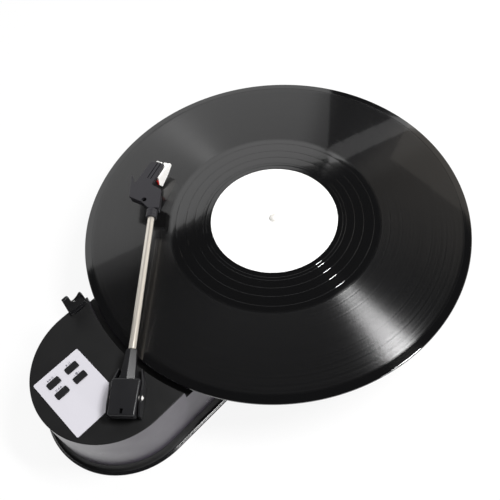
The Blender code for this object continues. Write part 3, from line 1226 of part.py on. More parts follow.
def make_arm_tube(slope):
    """The plated tube and the collar that plugs it into the head."""
    start = NECK_END - NECK_BORE_DEPTH + GAP
    tube = [
        (TUBE_RADIUS - TUBE_WALL, TUBE_END + TUBE_PLUG),
        (TUBE_RADIUS, TUBE_END + TUBE_PLUG),
        (TUBE_RADIUS, start),
        (TUBE_RADIUS - TUBE_WALL, start),
    ]
    put(turned("arm_tube", tube, "chrome", SMALL_STEPS), parent=slope, turn=(0, pi / 2, 0))
    collar_end = TUBE_END + COLLAR_LENGTH
    bore = TUBE_RADIUS + RUNNING_CLEARANCE
    collar = [
        (0, collar_end + COLLAR_PLUG_LENGTH),
        (COLLAR_PLUG_RADIUS, collar_end + COLLAR_PLUG_LENGTH),
        (COLLAR_PLUG_RADIUS, collar_end),
        (COLLAR_RADIUS - COLLAR_EDGE, collar_end),
        (COLLAR_RADIUS, collar_end - COLLAR_EDGE),
        (COLLAR_RADIUS, TUBE_END + COLLAR_EDGE),
        (COLLAR_RADIUS - COLLAR_EDGE, TUBE_END),
        (bore, TUBE_END),
        (bore, TUBE_END + TUBE_PLUG + GAP),
        (0, TUBE_END + TUBE_PLUG + GAP),
    ]
    put(turned("arm_collar", collar, "black_satin", SMALL_STEPS), parent=slope, turn=(0, pi / 2, 0))


def head_place(shares):
    return (HEAD_START + HEAD_LENGTH * shares[0], HEAD_WIDTH * shares[1] - HEAD_RIGHT)


def make_head(lift, slope):
    """Head cover with its finger lift, the block that takes the collar, and the fixing screw."""
    top = HEAD_TOP_OVER_RECORD - ARM_PIN_OVER_RECORD
    low = top - HEAD_COVER_THICKNESS
    cover = prism("head_cover", [[head_place(s) for s in HEAD_OUTLINE_SHARES]], low, top, "black_satin")
    bevelled(put(cover, parent=lift), HEAD_COVER_EDGE, 1)
    outline = [head_place(s) for s in HEAD_BLOCK_SHARES]
    middle = (sum(x for x, _ in outline) / len(outline), sum(y for _, y in outline) / len(outline))
    shrink = 1 - HEAD_BLOCK_INSET / HEAD_RIGHT
    inset = [
        (middle[0] + (x - middle[0]) * shrink, middle[1] + (y - middle[1]) * shrink) for x, y in outline
    ]
    block_top = low - GAP
    head = prism("head_block", [inset], block_top - HEAD_BLOCK_HEIGHT, block_top, "black_satin")
    put(head, parent=lift)
    collar_end = TUBE_END + COLLAR_LENGTH
    socket = pin("head_socket", COLLAR_PLUG_RADIUS + RUNNING_CLEARANCE, collar_end - OVERRUN,
                 collar_end + COLLAR_PLUG_LENGTH + GAP)
    put(socket, parent=slope, turn=(0, pi / 2, 0))
    cut(cover, socket)
    cut(head, socket)
    place = head_place(HEAD_SCREW_SHARES)
    head_top = top - HEAD_SCREW_SUNK
    shank = head_top - HEAD_SCREW_HEAD_HEIGHT
    sink = pin("head_screw_sink", HEAD_SCREW_HEAD_RADIUS + GAP, shank - GAP, top + OVERRUN, place)
    through = pin("head_screw_hole", HEAD_SCREW_RADIUS + RUNNING_CLEARANCE, shank - HEAD_SCREW_LENGTH - GAP,
                  top + OVERRUN, place)
    put(sink, parent=lift)
    put(through, parent=lift)
    cut(cover, sink, through)
    cut(head, through)
    screw = screw_piece("head_screw", place, head_top, HEAD_SCREW_HEAD_RADIUS, HEAD_SCREW_HEAD_HEIGHT,
                        HEAD_SCREW_RADIUS, HEAD_SCREW_LENGTH)
    screw.parent = lift
    return cover


def make_cartridge(lift, head_cover):
    """Cartridge body, the pale stylus lever under it and the stylus, in a frame turned inwards."""
    frame = bpy.data.objects.new("cartridge_frame", None)
    bpy.data.collections["record_player"].objects.link(frame)
    put(frame, (CARTRIDGE_FRONT_X, CARTRIDGE_FRONT_Y, -ARM_PIN_OVER_RECORD), lift, (0, 0, -CARTRIDGE_ANGLE))
    top = HEAD_TOP_OVER_RECORD - HEAD_COVER_THICKNESS - GAP
    side_view = [
        (-CARTRIDGE_LENGTH, top),
        (-CARTRIDGE_LENGTH, CARTRIDGE_BOTTOM_OVER_RECORD),
        (-CARTRIDGE_LENGTH + CARTRIDGE_FLAT_LENGTH, CARTRIDGE_BOTTOM_OVER_RECORD),
        (-CARTRIDGE_BACK_SET, CARTRIDGE_NOSE_OVER_RECORD),
        (-CARTRIDGE_BACK_SET, top),
    ]
    body = prism("cartridge", [side_view], -CARTRIDGE_WIDTH / 2, CARTRIDGE_WIDTH / 2, "black_satin")
    put(body, parent=frame, turn=(pi / 2, 0, 0))
    for i, y in enumerate(GROOVE_CUT_PLACES):
        groove = block(f"head_groove_{i}", (-GROOVE_CUT_LENGTH, OVERRUN), centred(y, GROOVE_CUT_WIDTH),
                       (HEAD_TOP_OVER_RECORD - GROOVE_CUT_DEPTH, HEAD_TOP_OVER_RECORD + OVERRUN))
        cut(head_cover, put(groove, parent=frame))
    front_left = LEVER_FRONT_WIDTH - LEVER_RIGHT
    rear_left = LEVER_REAR_WIDTH - LEVER_RIGHT
    lever_outline = [
        (0, -LEVER_RIGHT),
        (LEVER_LENGTH - LEVER_FRONT_CORNER, -LEVER_RIGHT),
        (LEVER_LENGTH, -LEVER_RIGHT + LEVER_FRONT_CORNER),
        (LEVER_LENGTH, front_left - LEVER_FRONT_CORNER),
        (LEVER_LENGTH - LEVER_FRONT_CORNER, front_left),
        (0, rear_left),
    ]
    lever = prism("stylus_lever", [lever_outline], 0, LEVER_THICKNESS, "lever_white")
    put(lever, (LEVER_REAR, 0, LEVER_OVER_RECORD), frame, (0, -LEVER_SLOPE, 0))
    rise = (LEVER_REAR + STYLUS_BACK) / -cos(LEVER_SLOPE) * sin(LEVER_SLOPE)
    stylus_top = LEVER_OVER_RECORD + rise - GAP
    tip = GROOVE_TOP + GAP - RECORD_TOP
    stylus = [
        (0, stylus_top),
        (STYLUS_RADIUS, stylus_top),
        (STYLUS_RADIUS, (stylus_top + tip) / 2),
        (STYLUS_TIP_RADIUS, tip),
        (0, tip),
    ]
    put(turned("stylus", stylus, "steel", SMALL_STEPS), (-STYLUS_BACK, -STYLUS_RIGHT, 0), frame)


def make_arm():
    swing = bpy.data.objects.new("arm_swing_axis", None)
    lift = bpy.data.objects.new("arm_lift_axis", None)
    slope = bpy.data.objects.new("arm_tube_line", None)
    for empty in (swing, lift, slope):
        bpy.data.collections["record_player"].objects.link(empty)
    put(swing, (PIVOT[0], PIVOT[1], PIN_HEIGHT), turn=(0, 0, ARM_AZIMUTH))
    put(lift, parent=swing)
    put(slope, (0, 0, STUB_ABOVE_SLOPE), lift, (0, -ARM_SLOPE, 0))
    make_arm_stand()
    make_arm_swing(swing)
    make_arm_cover(lift, slope)
    make_arm_tube(slope)
    make_cartridge(lift, make_head(lift, slope))


def make_battery_box():
    """The cell compartment, its contacts and the door hinged at its right edge."""
    outer = (BATTERY_X, BATTERY_Y, (TRAY_FLOOR_TOP + GAP, BATTERY_ROOF))
    box = block("battery_box", *outer, "black_satin")
    hollow = block("battery_hollow", DOOR_WINDOW_X, DOOR_WINDOW_Y,
                   (TRAY_FLOOR_TOP - OVERRUN, BATTERY_ROOF - BATTERY_BOX_WALL))
    cut(box, hollow)
    middle = (TRAY_FLOOR_TOP + BATTERY_ROOF) / 2
    z = centred(middle, CONTACT_HEIGHT)
    for end, name in enumerate(("battery_springs", "battery_contacts")):
        inward = 1 - 2 * end
        face = DOOR_WINDOW_X[end] + inward * GAP
        x = sorted((face, face + inward * CONTACT_THICKNESS))
        strip = block(name, x, centred(0, CONTACT_WIDTH), z, "steel")
        reach = CONTACT_SPRING_REACH if end == 0 else CONTACT_THICKNESS
        for i in range(BATTERY_CELLS):
            y = (i - (BATTERY_CELLS - 1) / 2) * CELL_PITCH
            coil = pin(f"{name}_{i}", CONTACT_SPRING_RADIUS, CONTACT_THICKNESS / 2, CONTACT_THICKNESS + reach)
            join(strip, put(coil, (face, y, middle), turn=(0, inward * pi / 2, 0)))
    left = DOOR_WINDOW_X[0] + GAP - HINGE_X
    door = block("battery_door", (left, 0), (DOOR_WINDOW_Y[0] + GAP, DOOR_WINDOW_Y[1] - GAP),
                 centred(0, DOOR_THICKNESS), "black_satin")
    at = (HINGE_X, 0, HINGE_Z)
    put(door, at)
    edge = pin("door_edge", DOOR_THICKNESS / 2, DOOR_WINDOW_Y[0] + GAP, DOOR_WINDOW_Y[1] - GAP)
    half_pin = DOOR_WINDOW_Y[1] + DOOR_PIN_LENGTH - GAP
    tabs = pin("door_pin", DOOR_PIN_RADIUS, -half_pin, half_pin)
    join(door, put(edge, at, turn=(pi / 2, 0, 0)), put(tabs, at, turn=(pi / 2, 0, 0)))
    face = -DOOR_THICKNESS / 2
    grip = rod("door_grip", DOOR_GRIP_RADIUS, face - OVERRUN, face + DOOR_GRIP_DEPTH)
    cut(door, put(grip, (HINGE_X + left + 2 * DOOR_GRIP_RADIUS, 0, HINGE_Z)))


def make_speaker():
    """A small cone driver: rim, basket and magnet, facing down."""
    low = TRAY_FLOOR_TOP + GAP
    basket = low + SPEAKER_RIM_HEIGHT + SPEAKER_BASKET_HEIGHT
    top = basket + SPEAKER_MAGNET_HEIGHT
    profile = [
        (0, top),
        (SPEAKER_MAGNET_RADIUS, top),
        (SPEAKER_MAGNET_RADIUS, basket),
        (SPEAKER_BASKET_RADIUS, basket),
        (SPEAKER_RADIUS - SPEAKER_RIM, low + SPEAKER_RIM_HEIGHT),
        (SPEAKER_RADIUS, low + SPEAKER_RIM_HEIGHT),
        (SPEAKER_RADIUS, low),
        (SPEAKER_RADIUS - SPEAKER_RIM, low),
        (SPEAKER_MAGNET_RADIUS, low + SPEAKER_RIM_HEIGHT + SPEAKER_BASKET_HEIGHT / 2),
        (0, low + SPEAKER_RIM_HEIGHT + SPEAKER_BASKET_HEIGHT / 2),
    ]
    put(turned("speaker", profile, "zinc"), (SPEAKER_X, 0, 0))


def volume_wheel_bottom():
    return PART_SEAT + VOLUME_BODY_HEIGHT + GAP


def make_volume_control():
    at = (VOLUME_X, VOLUME_Y, 0)
    low = volume_wheel_bottom()
    points = []
    for i in range(2 * VOLUME_RIBS):
        radius = VOLUME_RADIUS - (i % 2) * VOLUME_RIB_DEPTH
        points.append((radius * cos(pi * i / VOLUME_RIBS), radius * sin(pi * i / VOLUME_RIBS)))
    hole = VOLUME_SHAFT_RADIUS + RUNNING_CLEARANCE
    rim = [points, ring(hole, SMALL_STEPS)]
    put(prism("volume_wheel", rim, low, low + VOLUME_THICKNESS, "black_satin"), at)
    profile = [
        (0, low + VOLUME_THICKNESS),
        (VOLUME_SHAFT_RADIUS, low + VOLUME_THICKNESS),
        (VOLUME_SHAFT_RADIUS, low - GAP),
        (VOLUME_BODY_RADIUS, low - GAP),
        (VOLUME_BODY_RADIUS, PART_SEAT),
        (0, PART_SEAT),
    ]
    put(turned("volume_control", profile, "zinc", SMALL_STEPS), at)


def make_speed_switch():
    """A slide switch behind the back wall, and the knob that moves in it."""
    x = SPEED_X
    face = HOUSING_INNER - GAP
    body_y = (face - SPEED_BODY_WIDTH, face)
    body_z = (PART_SEAT, PART_SEAT + SPEED_BODY_HEIGHT)
    middle = sum(body_z) / 2
    body = block("speed_switch", centred(x, SPEED_BODY_LENGTH), body_y, body_z, "steel")
    channel_x = centred(x, SPEED_TRAVEL + SPEED_KNOB_LENGTH + 2 * GAP)
    knob_start = BASE_FOOT_RADIUS + SPEED_KNOB_RISE - SPEED_KNOB_DEPTH
    channel = block("speed_channel", channel_x, (knob_start - GAP, face + OVERRUN),
                    centred(middle, SPEED_KNOB_HEIGHT + 2 * GAP))
    cut(body, channel)
    block("speed_knob", centred(x, SPEED_KNOB_LENGTH), (knob_start, BASE_FOOT_RADIUS + SPEED_KNOB_RISE),
          centred(middle, SPEED_KNOB_HEIGHT), "black_satin")


def back_socket(name, x, width, height, length, finish):
    y = (BACK_PIECE_REACH - length, BACK_PIECE_REACH)
    return block(name, centred(x, width), y, (PART_SEAT, PART_SEAT + height), finish)


def back_bore(name, x, height, radius, depth):
    """A round hole from the back face inwards."""
    bore = pin(name, radius, -depth, OVERRUN)
    return put(bore, (x, BACK_PIECE_REACH, PART_SEAT + height / 2), turn=(-pi / 2, 0, 0))


def make_electronics():
    """The main board, its sockets at the back wall, and its two screws."""
    board_z = (MAIN_BOARD_HEIGHT, MAIN_BOARD_TOP)
    board = block("main_board", MAIN_BOARD_X, MAIN_BOARD_Y, board_z, "board_green")
    for i, place in enumerate(MAIN_BOARD_POSTS):
        cut(board, pin(f"main_board_hole_{i}", BOARD_SCREW_RADIUS + GAP, MAIN_BOARD_HEIGHT - OVERRUN,
                       MAIN_BOARD_TOP + OVERRUN, place))
    screw_piece("main_board_screw", MAIN_BOARD_POSTS[0], PART_SEAT + BOARD_HEAD_HEIGHT, BOARD_HEAD_RADIUS,
                BOARD_HEAD_HEIGHT, BOARD_SCREW_RADIUS, BOARD_SCREW_LENGTH)
    usb = back_socket("usb_socket", USB_X, USB_WIDTH, USB_HEIGHT, USB_LENGTH, "steel")
    inside = block("usb_inside", centred(USB_X, USB_WIDTH - 2 * USB_WALL),
                   (BACK_PIECE_REACH - USB_LENGTH + 2 * USB_WALL, BACK_PIECE_REACH + OVERRUN),
                   (PART_SEAT + USB_WALL, PART_SEAT + USB_HEIGHT - USB_WALL))
    tongue_top = PART_SEAT + USB_HEIGHT - 2 * USB_WALL
    tongue = block("usb_tongue", centred(USB_X, USB_WIDTH - 6 * USB_WALL),
                   (BACK_PIECE_REACH - USB_LENGTH + USB_WALL, BACK_PIECE_REACH - USB_TONGUE),
                   (tongue_top - USB_TONGUE, tongue_top))
    join(cut(usb, inside), tongue)
    jack = back_socket("headphone_jack", JACK_X, JACK_WIDTH, JACK_HEIGHT, JACK_LENGTH, "black_satin")
    cut(jack, back_bore("jack_bore", JACK_X, JACK_HEIGHT, JACK_HOLE_RADIUS, JACK_LENGTH - JACK_HOLE_RADIUS))
    make_volume_control()
    make_speed_switch()


def main():
    clear_scene()
    new_collection("record_player")
    new_collection("cutters")
    make_tray()
    make_housing()
    make_controls()
    make_feet_and_screws()
    make_arm_rest()
    make_platter()
    make_drive()
    make_record()
    make_arm()
    make_battery_box()
    make_speaker()
    make_electronics()


main()
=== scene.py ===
"""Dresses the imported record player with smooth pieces, real finishes and a pale studio."""

import json
from math import cos, pi, radians, sin, tan

import bmesh
import bpy
from bpy.props import FloatProperty, FloatVectorProperty, IntProperty, PointerProperty
from mathutils import Matrix, Vector

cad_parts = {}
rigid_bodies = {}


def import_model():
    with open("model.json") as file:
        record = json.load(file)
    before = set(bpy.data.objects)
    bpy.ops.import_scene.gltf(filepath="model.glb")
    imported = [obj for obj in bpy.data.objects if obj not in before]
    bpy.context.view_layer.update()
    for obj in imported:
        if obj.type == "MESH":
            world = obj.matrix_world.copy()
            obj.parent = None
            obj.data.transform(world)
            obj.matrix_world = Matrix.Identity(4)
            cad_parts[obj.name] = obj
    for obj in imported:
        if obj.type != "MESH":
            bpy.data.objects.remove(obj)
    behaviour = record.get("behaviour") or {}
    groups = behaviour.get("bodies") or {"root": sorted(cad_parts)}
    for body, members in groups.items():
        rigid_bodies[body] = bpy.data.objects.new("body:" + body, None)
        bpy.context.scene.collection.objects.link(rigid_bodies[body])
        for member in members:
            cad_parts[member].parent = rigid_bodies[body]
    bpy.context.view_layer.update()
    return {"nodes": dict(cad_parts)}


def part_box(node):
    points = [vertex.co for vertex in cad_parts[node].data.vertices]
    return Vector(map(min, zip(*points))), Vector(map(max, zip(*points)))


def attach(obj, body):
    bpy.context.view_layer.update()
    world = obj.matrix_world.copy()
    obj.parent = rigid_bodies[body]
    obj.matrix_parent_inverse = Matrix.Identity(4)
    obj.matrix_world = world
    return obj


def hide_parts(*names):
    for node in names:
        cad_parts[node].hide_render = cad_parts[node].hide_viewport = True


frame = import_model()

bl_info = {
    "name": "Record Player",
    "version": (1, 0, 0),
    "blender": (4, 5, 0),
    "location": "3D View > Sidebar > Record Player",
    "description": "Builds a portable record player with a loaded record, piece by piece",
    "category": "Add Mesh",
}

MM = 0.001


def linear(written):
    """An sRGB hex colour as the linear values that Blender's sockets take."""
    values = [int(written[i : i + 2], 16) / 255 for i in (1, 3, 5)]
    return tuple(v / 12.92 if v <= 0.04045 else ((v + 0.055) / 1.055) ** 2.4 for v in values)


def paint(written):
    """The same colour, opaque, for a shader's socket."""
    return (*linear(written), 1)


def mm(*points):
    """Flat points written in millimetres, in metres."""
    return [(x * MM, y * MM) for x, y in points]


def low(node):
    return Vector(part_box(node)[0])


def high(node):
    return Vector(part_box(node)[1])


def middle(node):
    return (low(node) + high(node)) / 2


# Sizes that the frame holds, in metres
SPINDLE = middle("record").xy
RECORD_RADIUS = high("record").x - SPINDLE.x
RECORD_TOP = high("record").z
RECORD_BOTTOM = low("record").z
LABEL_RADIUS = high("record_label").x - SPINDLE.x
LIP_RADIUS = high("bottom_tray").y
END_X = low("bottom_tray").x + LIP_RADIUS
HOUSING_BOTTOM = low("upper_housing").z
TRAY_BOTTOM = low("bottom_tray").z
PIVOT = middle("arm_turret").xy
PIN_HEIGHT = middle("arm_pivot_pin").z

# Fits: the gap between two pieces, and how far a cutter runs past what it cuts
GAP = 0.3 * MM
OVERRUN = 2 * MM

# Moulded base
DECK = 56 * MM
BASE_RADIUS = 54.7 * MM
BASE_FOOT_RADIUS = 56 * MM
HOUSING_WALL = 2.4 * MM
DECK_THICKNESS = 2.5 * MM
DECK_UNDERSIDE = DECK - DECK_THICKNESS
WELL_RADIUS = RECORD_RADIUS + 4.25 * MM
WELL_FLOOR = DECK - 8 * MM
WELL_UNDERSIDE = WELL_FLOOR - DECK_THICKNESS
TRAY_TOP = TRAY_BOTTOM + 7.5 * MM
TRAY_FLOOR_TOP = TRAY_BOTTOM + 2.2 * MM
POST_RADIUS = 2.6 * MM
POST_BORE = 1.1 * MM
PEG_RADIUS = 1 * MM
PEG_REACH = 1.2 * MM

# The arm's own axes: level over the pivot, along the sloping tube, and along the cartridge
ARM_AZIMUTH = radians(42.06)
ARM_SLOPE = radians(2.45)
TUBE_OVER_PIN = 0.2 * MM
CARTRIDGE_ANGLE = radians(22.5)
CARTRIDGE_FRONT = (194.7 * MM, 1.1 * MM)
PIN_OVER_RECORD = PIN_HEIGHT - RECORD_TOP
ARM = Matrix.Translation((*PIVOT, PIN_HEIGHT)) @ Matrix.Rotation(ARM_AZIMUTH, 4, "Z")
TUBE_IN_ARM = Matrix.Translation((0, 0, TUBE_OVER_PIN)) @ Matrix.Rotation(-ARM_SLOPE, 4, "Y")
HEAD_IN_ARM = Matrix.Translation((*CARTRIDGE_FRONT, -PIN_OVER_RECORD)) @ Matrix.Rotation(
    -CARTRIDGE_ANGLE, 4, "Z"
)
ALONG_X = Matrix.Rotation(pi / 2, 4, "Y")
UPRIGHT = Matrix.Rotation(pi / 2, 4, "X")

# Facets
FOUR = range(1, 5)
END_STEPS = 72
RECORD_STEPS = 256
LABEL_STEPS = 160
ROUND_STEPS = 64
PIN_STEPS = 48
SMALL_STEPS = 32
CORNER_STEPS = 5
TINY = 1e-7
MITRE = 0.4
SIDE_FACE = 0.35
# How much of a side a softened corner may take, and the least share of its radius worth drawing
CORNER_REACH = 0.45
LEAST_REACH = 0.02
CORNER_OF_EDGE = 1.5


def tone(name, about, written):
    """A colour that the sidebar shows."""
    return FloatVectorProperty(
        name=name, description=about, subtype="COLOR", default=linear(written)
    )


def length(name, about, size):
    """A length that the sidebar shows."""
    return FloatProperty(name=name, description=about, default=size, unit="LENGTH")


class PlayerColours(bpy.types.PropertyGroup):
    """Colours of the player's finishes."""

    deck: tone("Deck", "Black plastic of the housing", "#0e0e0f")
    vinyl: tone("Record", "Pressed vinyl", "#070708")
    label: tone("Label", "Bare paper label", "#f6f6f5")
    plate: tone("Plate", "Pale control plate", "#cccad1")
    mark: tone("Marks", "Grey marks over the buttons", "#77757f")
    tube: tone("Tube", "Anodised arm tube", "#f6efe4")
    lever: tone("Stylus lever", "White plastic", "#fdfcf9")
    spot: tone("Red spot", "Lacquer spot on the lever", "#a81f1c")
    floor: tone("Floor", "Studio floor", "#fafafa")


class PlayerSizes(bpy.types.PropertyGroup):
    """Small sizes that set how the pieces look."""

    deck_round: length("Deck edge", "Radius of the deck's outer edge", 0.6 * MM)
    # Real grooves lie about 0.12 mm apart, too fine for the picture
    groove_pitch: length("Groove pitch", "Spacing of the drawn grooves", 1 * MM)
    rim_width: length("Rim bead", "Width of the record's raised rim", 4.3 * MM)
    grain: length("Mould grain", "Spacing of the moulded texture", 0.35 * MM)
    wheel_ribs: IntProperty(
        name="Wheel ribs", description="Ribs round the volume wheel", default=40
    )


USUAL_NOISE = (0.3, 0.7)


def colour(name):
    return (*getattr(bpy.context.scene.player_colours, name), 1)


def sizes():
    return bpy.context.scene.player_sizes


def add(tree, kind, settings=None, links=None):
    """Adds a node, sets its inputs and properties, and links its inputs to other nodes' outputs."""
    node = tree.nodes.new(kind)
    for key, value in (settings or {}).items():
        if isinstance(key, int) or key in node.inputs:
            node.inputs[key].default_value = value
        else:
            setattr(node, key, value)
    for key, output in (links or {}).items():
        tree.links.new(output, node.inputs[key])
    return node


def object_place(tree):
    return add(tree, "ShaderNodeTexCoord").outputs["Object"]


def spots(tree, place, spacing, detail):
    """Soft random spots this far apart."""
    settings = {"Scale": 1 / spacing, "Detail": detail}
    return add(tree, "ShaderNodeTexNoise", settings, {"Vector": place}).outputs["Fac"]


def remapped(tree, value, start, stop, lowest, highest, curve="LINEAR"):
    """The value's run from start to stop, carried over to another range."""
    settings = {
        "interpolation_type": curve,
        "From Min": start,
        "From Max": stop,
        "To Min": lowest,
        "To Max": highest,
    }
    return add(tree, "ShaderNodeMapRange", settings, {"Value": value}).outputs["Result"]


def varied(tree, noise, lowest, highest):
    """A noise's usual values, carried over to this range."""
    return remapped(tree, noise, *USUAL_NOISE, lowest, highest)


def reckoned(tree, operation, first, second):
    links = {0: first, 1: second}
    return add(tree, "ShaderNodeMath", {"operation": operation}, links).outputs["Value"]


def relief(tree, shader, height, depth, strength):
    """Gives the surface this fine height."""
    settings = {"Distance": depth, "Strength": strength}
    bump = add(tree, "ShaderNodeBump", settings, {"Height": height})
    tree.links.new(bump.outputs["Normal"], shader.inputs["Normal"])


def new_finish(name, base, roughness, **more):
    """A material with plain values on its shader, and its node tree and shader."""
    material = bpy.data.materials.new(name)
    material.use_nodes = True
    shader = material.node_tree.nodes["Principled BSDF"]
    shader.inputs["Base Color"].default_value = base
    shader.inputs["Roughness"].default_value = roughness
    for key, value in more.items():
        socket = key.replace("_", " ").title().replace("Ior", "IOR")
        shader.inputs[socket].default_value = value
    return material, material.node_tree, shader


def moulded_abs(name, base, roughness, grain, depth, **gloss):
    """ABS from a spark-eroded mould: an even grain breaks up the light, over patches of sheen."""
    material, tree, shader = new_finish(name, base, roughness, ior=1.52, **gloss)
    place = object_place(tree)
    patches = spots(tree, place, 16 * MM, 4.0)
    sheen = varied(tree, patches, roughness - 0.04, roughness + 0.05)
    tree.links.new(sheen, shader.inputs["Roughness"])
    relief(tree, shader, spots(tree, place, grain, 2.0), depth, 0.5)
    return material


# Radii over which the grooved finish comes in after the run-out and goes out at the rim
GROOVES_COME_IN = (81 * MM, 85 * MM)
GROOVES_GO_OUT = (143.5 * MM, 145 * MM)
# Roughness of the polished run-out and of the grooves, and how far single rings differ
VINYL_ROUGHNESS = (0.06, 0.215)
RING_DIFFERENCE = 0.05
VINYL_COAT = (1.0, 0.65)


def pressed_vinyl():
    """Black vinyl from a polished stamper: fine grooves stretch each reflection outwards."""
    material, tree, shader = new_finish(
        "pressed_vinyl",
        colour("vinyl"),
        0.12,
        ior=1.53,
        specular_ior_level=1.0,
        coat_roughness=0.03,
        coat_ior=1.5,
        anisotropic=1.0,
        anisotropic_rotation=0.25,
    )
    flat = object_place(tree)
    for operation, value in (("SUBTRACT", (*SPINDLE, 0)), ("MULTIPLY", (1, 1, 0))):
        step = add(tree, "ShaderNodeVectorMath", {"operation": operation, 1: value}, {0: flat})
        flat = step.outputs["Vector"]
    length_of = add(tree, "ShaderNodeVectorMath", {"operation": "LENGTH"}, {0: flat})
    radius = length_of.outputs["Value"]
    past_run_out = remapped(tree, radius, *GROOVES_COME_IN, 0.0, 1.0, "SMOOTHSTEP")
    inside_rim = remapped(tree, radius, *GROOVES_GO_OUT, 1.0, 0.0)
    grooved = reckoned(tree, "MULTIPLY", past_run_out, inside_rim)
    settings = {"noise_dimensions": "1D", "Scale": 1 / sizes().groove_pitch, "Detail": 3.0}
    rings = add(tree, "ShaderNodeTexNoise", settings, {"W": radius}).outputs["Fac"]
    # The run-out is polished, and the grooves scatter light; each ring differs a little
    ground = remapped(tree, grooved, 0.0, 1.0, *VINYL_ROUGHNESS)
    tones = varied(tree, rings, -RING_DIFFERENCE, RING_DIFFERENCE)
    uneven = reckoned(tree, "MULTIPLY", tones, grooved)
    roughness = reckoned(tree, "ADD", ground, uneven)
    skin = remapped(tree, past_run_out, 0.0, 1.0, *VINYL_COAT)
    tangent = add(tree, "ShaderNodeTangent", {"direction_type": "RADIAL", "axis": "Z"})
    tree.links.new(roughness, shader.inputs["Roughness"])
    tree.links.new(skin, shader.inputs["Coat Weight"])
    tree.links.new(tangent.outputs["Tangent"], shader.inputs["Tangent"])
    relief(tree, shader, rings, 0.012 * MM, 0.6)
    return material


def label_paper():
    """Uncoated label paper pressed into the vinyl: short fibres show as a faint mottle."""
    material, tree, shader = new_finish("label_paper", colour("label"), 0.62, ior=1.45)
    fibres = spots(tree, object_place(tree), 0.5 * MM, 4.0)
    settings = {"data_type": "RGBA", 6: colour("label"), 7: paint("#eeeeed")}
    tint = add(tree, "ShaderNodeMix", settings, {"Factor": fibres})
    tree.links.new(tint.outputs[2], shader.inputs["Base Color"])
    relief(tree, shader, fibres, 0.02 * MM, 0.3)
    return material


def pale_plastic(name, base, roughness):
    """Pale moulded plastic: a soft sheen and a barely uneven surface."""
    material, tree, shader = new_finish(name, base, roughness, ior=1.5)
    waves = spots(tree, object_place(tree), 1.2 * MM, 3.0)
    relief(tree, shader, waves, 0.01 * MM, 0.4)
    return material


def drawn_metal(name, base, roughness, line, stretch, depth=0.002 * MM, metallic=1.0):
    """Metal drawn or turned on a machine: fine lines run one way over a bright ground."""
    material, tree, shader = new_finish(name, base, roughness, metallic=metallic)
    scale = [1 / (line * axis) for axis in stretch]
    drawn = add(tree, "ShaderNodeMapping", {"Scale": scale}, {"Vector": object_place(tree)})
    lines = spots(tree, drawn.outputs["Vector"], 1.0, 3.0)
    sheen = varied(tree, lines, roughness * 0.8, roughness * 1.25)
    tree.links.new(sheen, shader.inputs["Roughness"])
    relief(tree, shader, lines, depth, 0.4)
    return material


def board_laminate():
    """Glass-fibre laminate under green solder mask: the weave shows through as a fine check."""
    material, tree, shader = new_finish("green_solder_mask", paint("#1d5a34"), 0.35, ior=1.5)
    settings = {"Scale": 1 / (0.5 * MM), "Color1": paint("#1d5a34"), "Color2": paint("#22633a")}
    weave = add(tree, "ShaderNodeTexChecker", settings, {"Vector": object_place(tree)})
    tree.links.new(weave.outputs["Color"], shader.inputs["Base Color"])
    return material


def black_plastics():
    """The player's black mouldings, which differ in how their moulds were finished; the sides and
    the head also carry painted reflection in a lighter base colour.
    """
    polish = {"grain": 0.6 * MM, "depth": 0.0004 * MM, "coat_ior": 1.6}
    satin = {"roughness": 0.30, "grain": 0.3 * MM}
    return {
        # Matte deck: it scatters the lamps to an even dark grey
        "deck": moulded_abs("matte_black_abs", colour("deck"), 0.50, sizes().grain, 0.02 * MM),
        # Polished sides: they mirror the pale floor, and the mirrored light fades downwards; their
        # lavender grey base colour is a painted reflection of that floor
        "wall": moulded_abs(
            "polished_abs_painted_reflection",
            paint("#332d39"),
            0.30,
            coat_weight=0.25,
            coat_roughness=0.22,
            **polish,
        ),
        # Matte cove: it drinks the light, so the wall seems to float over a black line
        "tray": moulded_abs("matte_plinth_abs", paint("#0b0b0c"), 0.55, 0.3 * MM, 0.0006 * MM),
        # Full gloss along the lip's two beads, where the lamps draw thin bright lines
        "lip": moulded_abs(
            "glossy_lip_abs",
            paint("#101012"),
            0.22,
            coat_weight=1.0,
            coat_roughness=0.2,
            **polish,
        ),
        # Satin with a fine grain, on the arm's own mouldings
        "arm": moulded_abs("satin_black_abs", paint("#1d1d1f"), depth=0.006 * MM, **satin),
        # On the head, its block and the collar: the arm's satin with a lighter base colour, a
        # painted sheen of the window's light
        "head": moulded_abs("satin_abs_painted_sheen", paint("#2c2b2f"), depth=0.008 * MM, **satin),
        # Nitrile rubber from a matte mould: no gloss, a dusty fine grain
        "rubber": moulded_abs("nitrile_rubber", paint("#1c1c1c"), 0.85, 0.5 * MM, 0.03 * MM),
    }


def metals():
    """The player's metals: lines of turning run round, and those of drawing run along."""
    even, turned = (1, 1, 1), (1, 1, 4)
    return {
        # Clear anodising scatters light in its oxide skin: a pale body between two bright lines
        "tube": drawn_metal(
            "clear_anodised_aluminium",
            colour("tube"),
            0.16,
            0.2 * MM,
            (150, 1, 1),
            0.00003 * MM,
            0.68,
        ),
        "steel": drawn_metal("turned_steel", paint("#c2c2c0"), 0.28, 0.3 * MM, turned),
        # Blasting leaves a pale, dull skin
        "blasted": drawn_metal(
            "blasted_steel", paint("#f0eee9"), 0.62, 0.3 * MM, even, metallic=0.4
        ),
        "oxide": drawn_metal("black_oxide_zinc", paint("#141415"), 0.6, 0.5 * MM, even),
        "brass": drawn_metal("turned_brass", paint("#c9a45c"), 0.3, 0.3 * MM, turned),
        "zinc": drawn_metal("zinc_plate", paint("#a9abad"), 0.42, 0.8 * MM, even),
    }


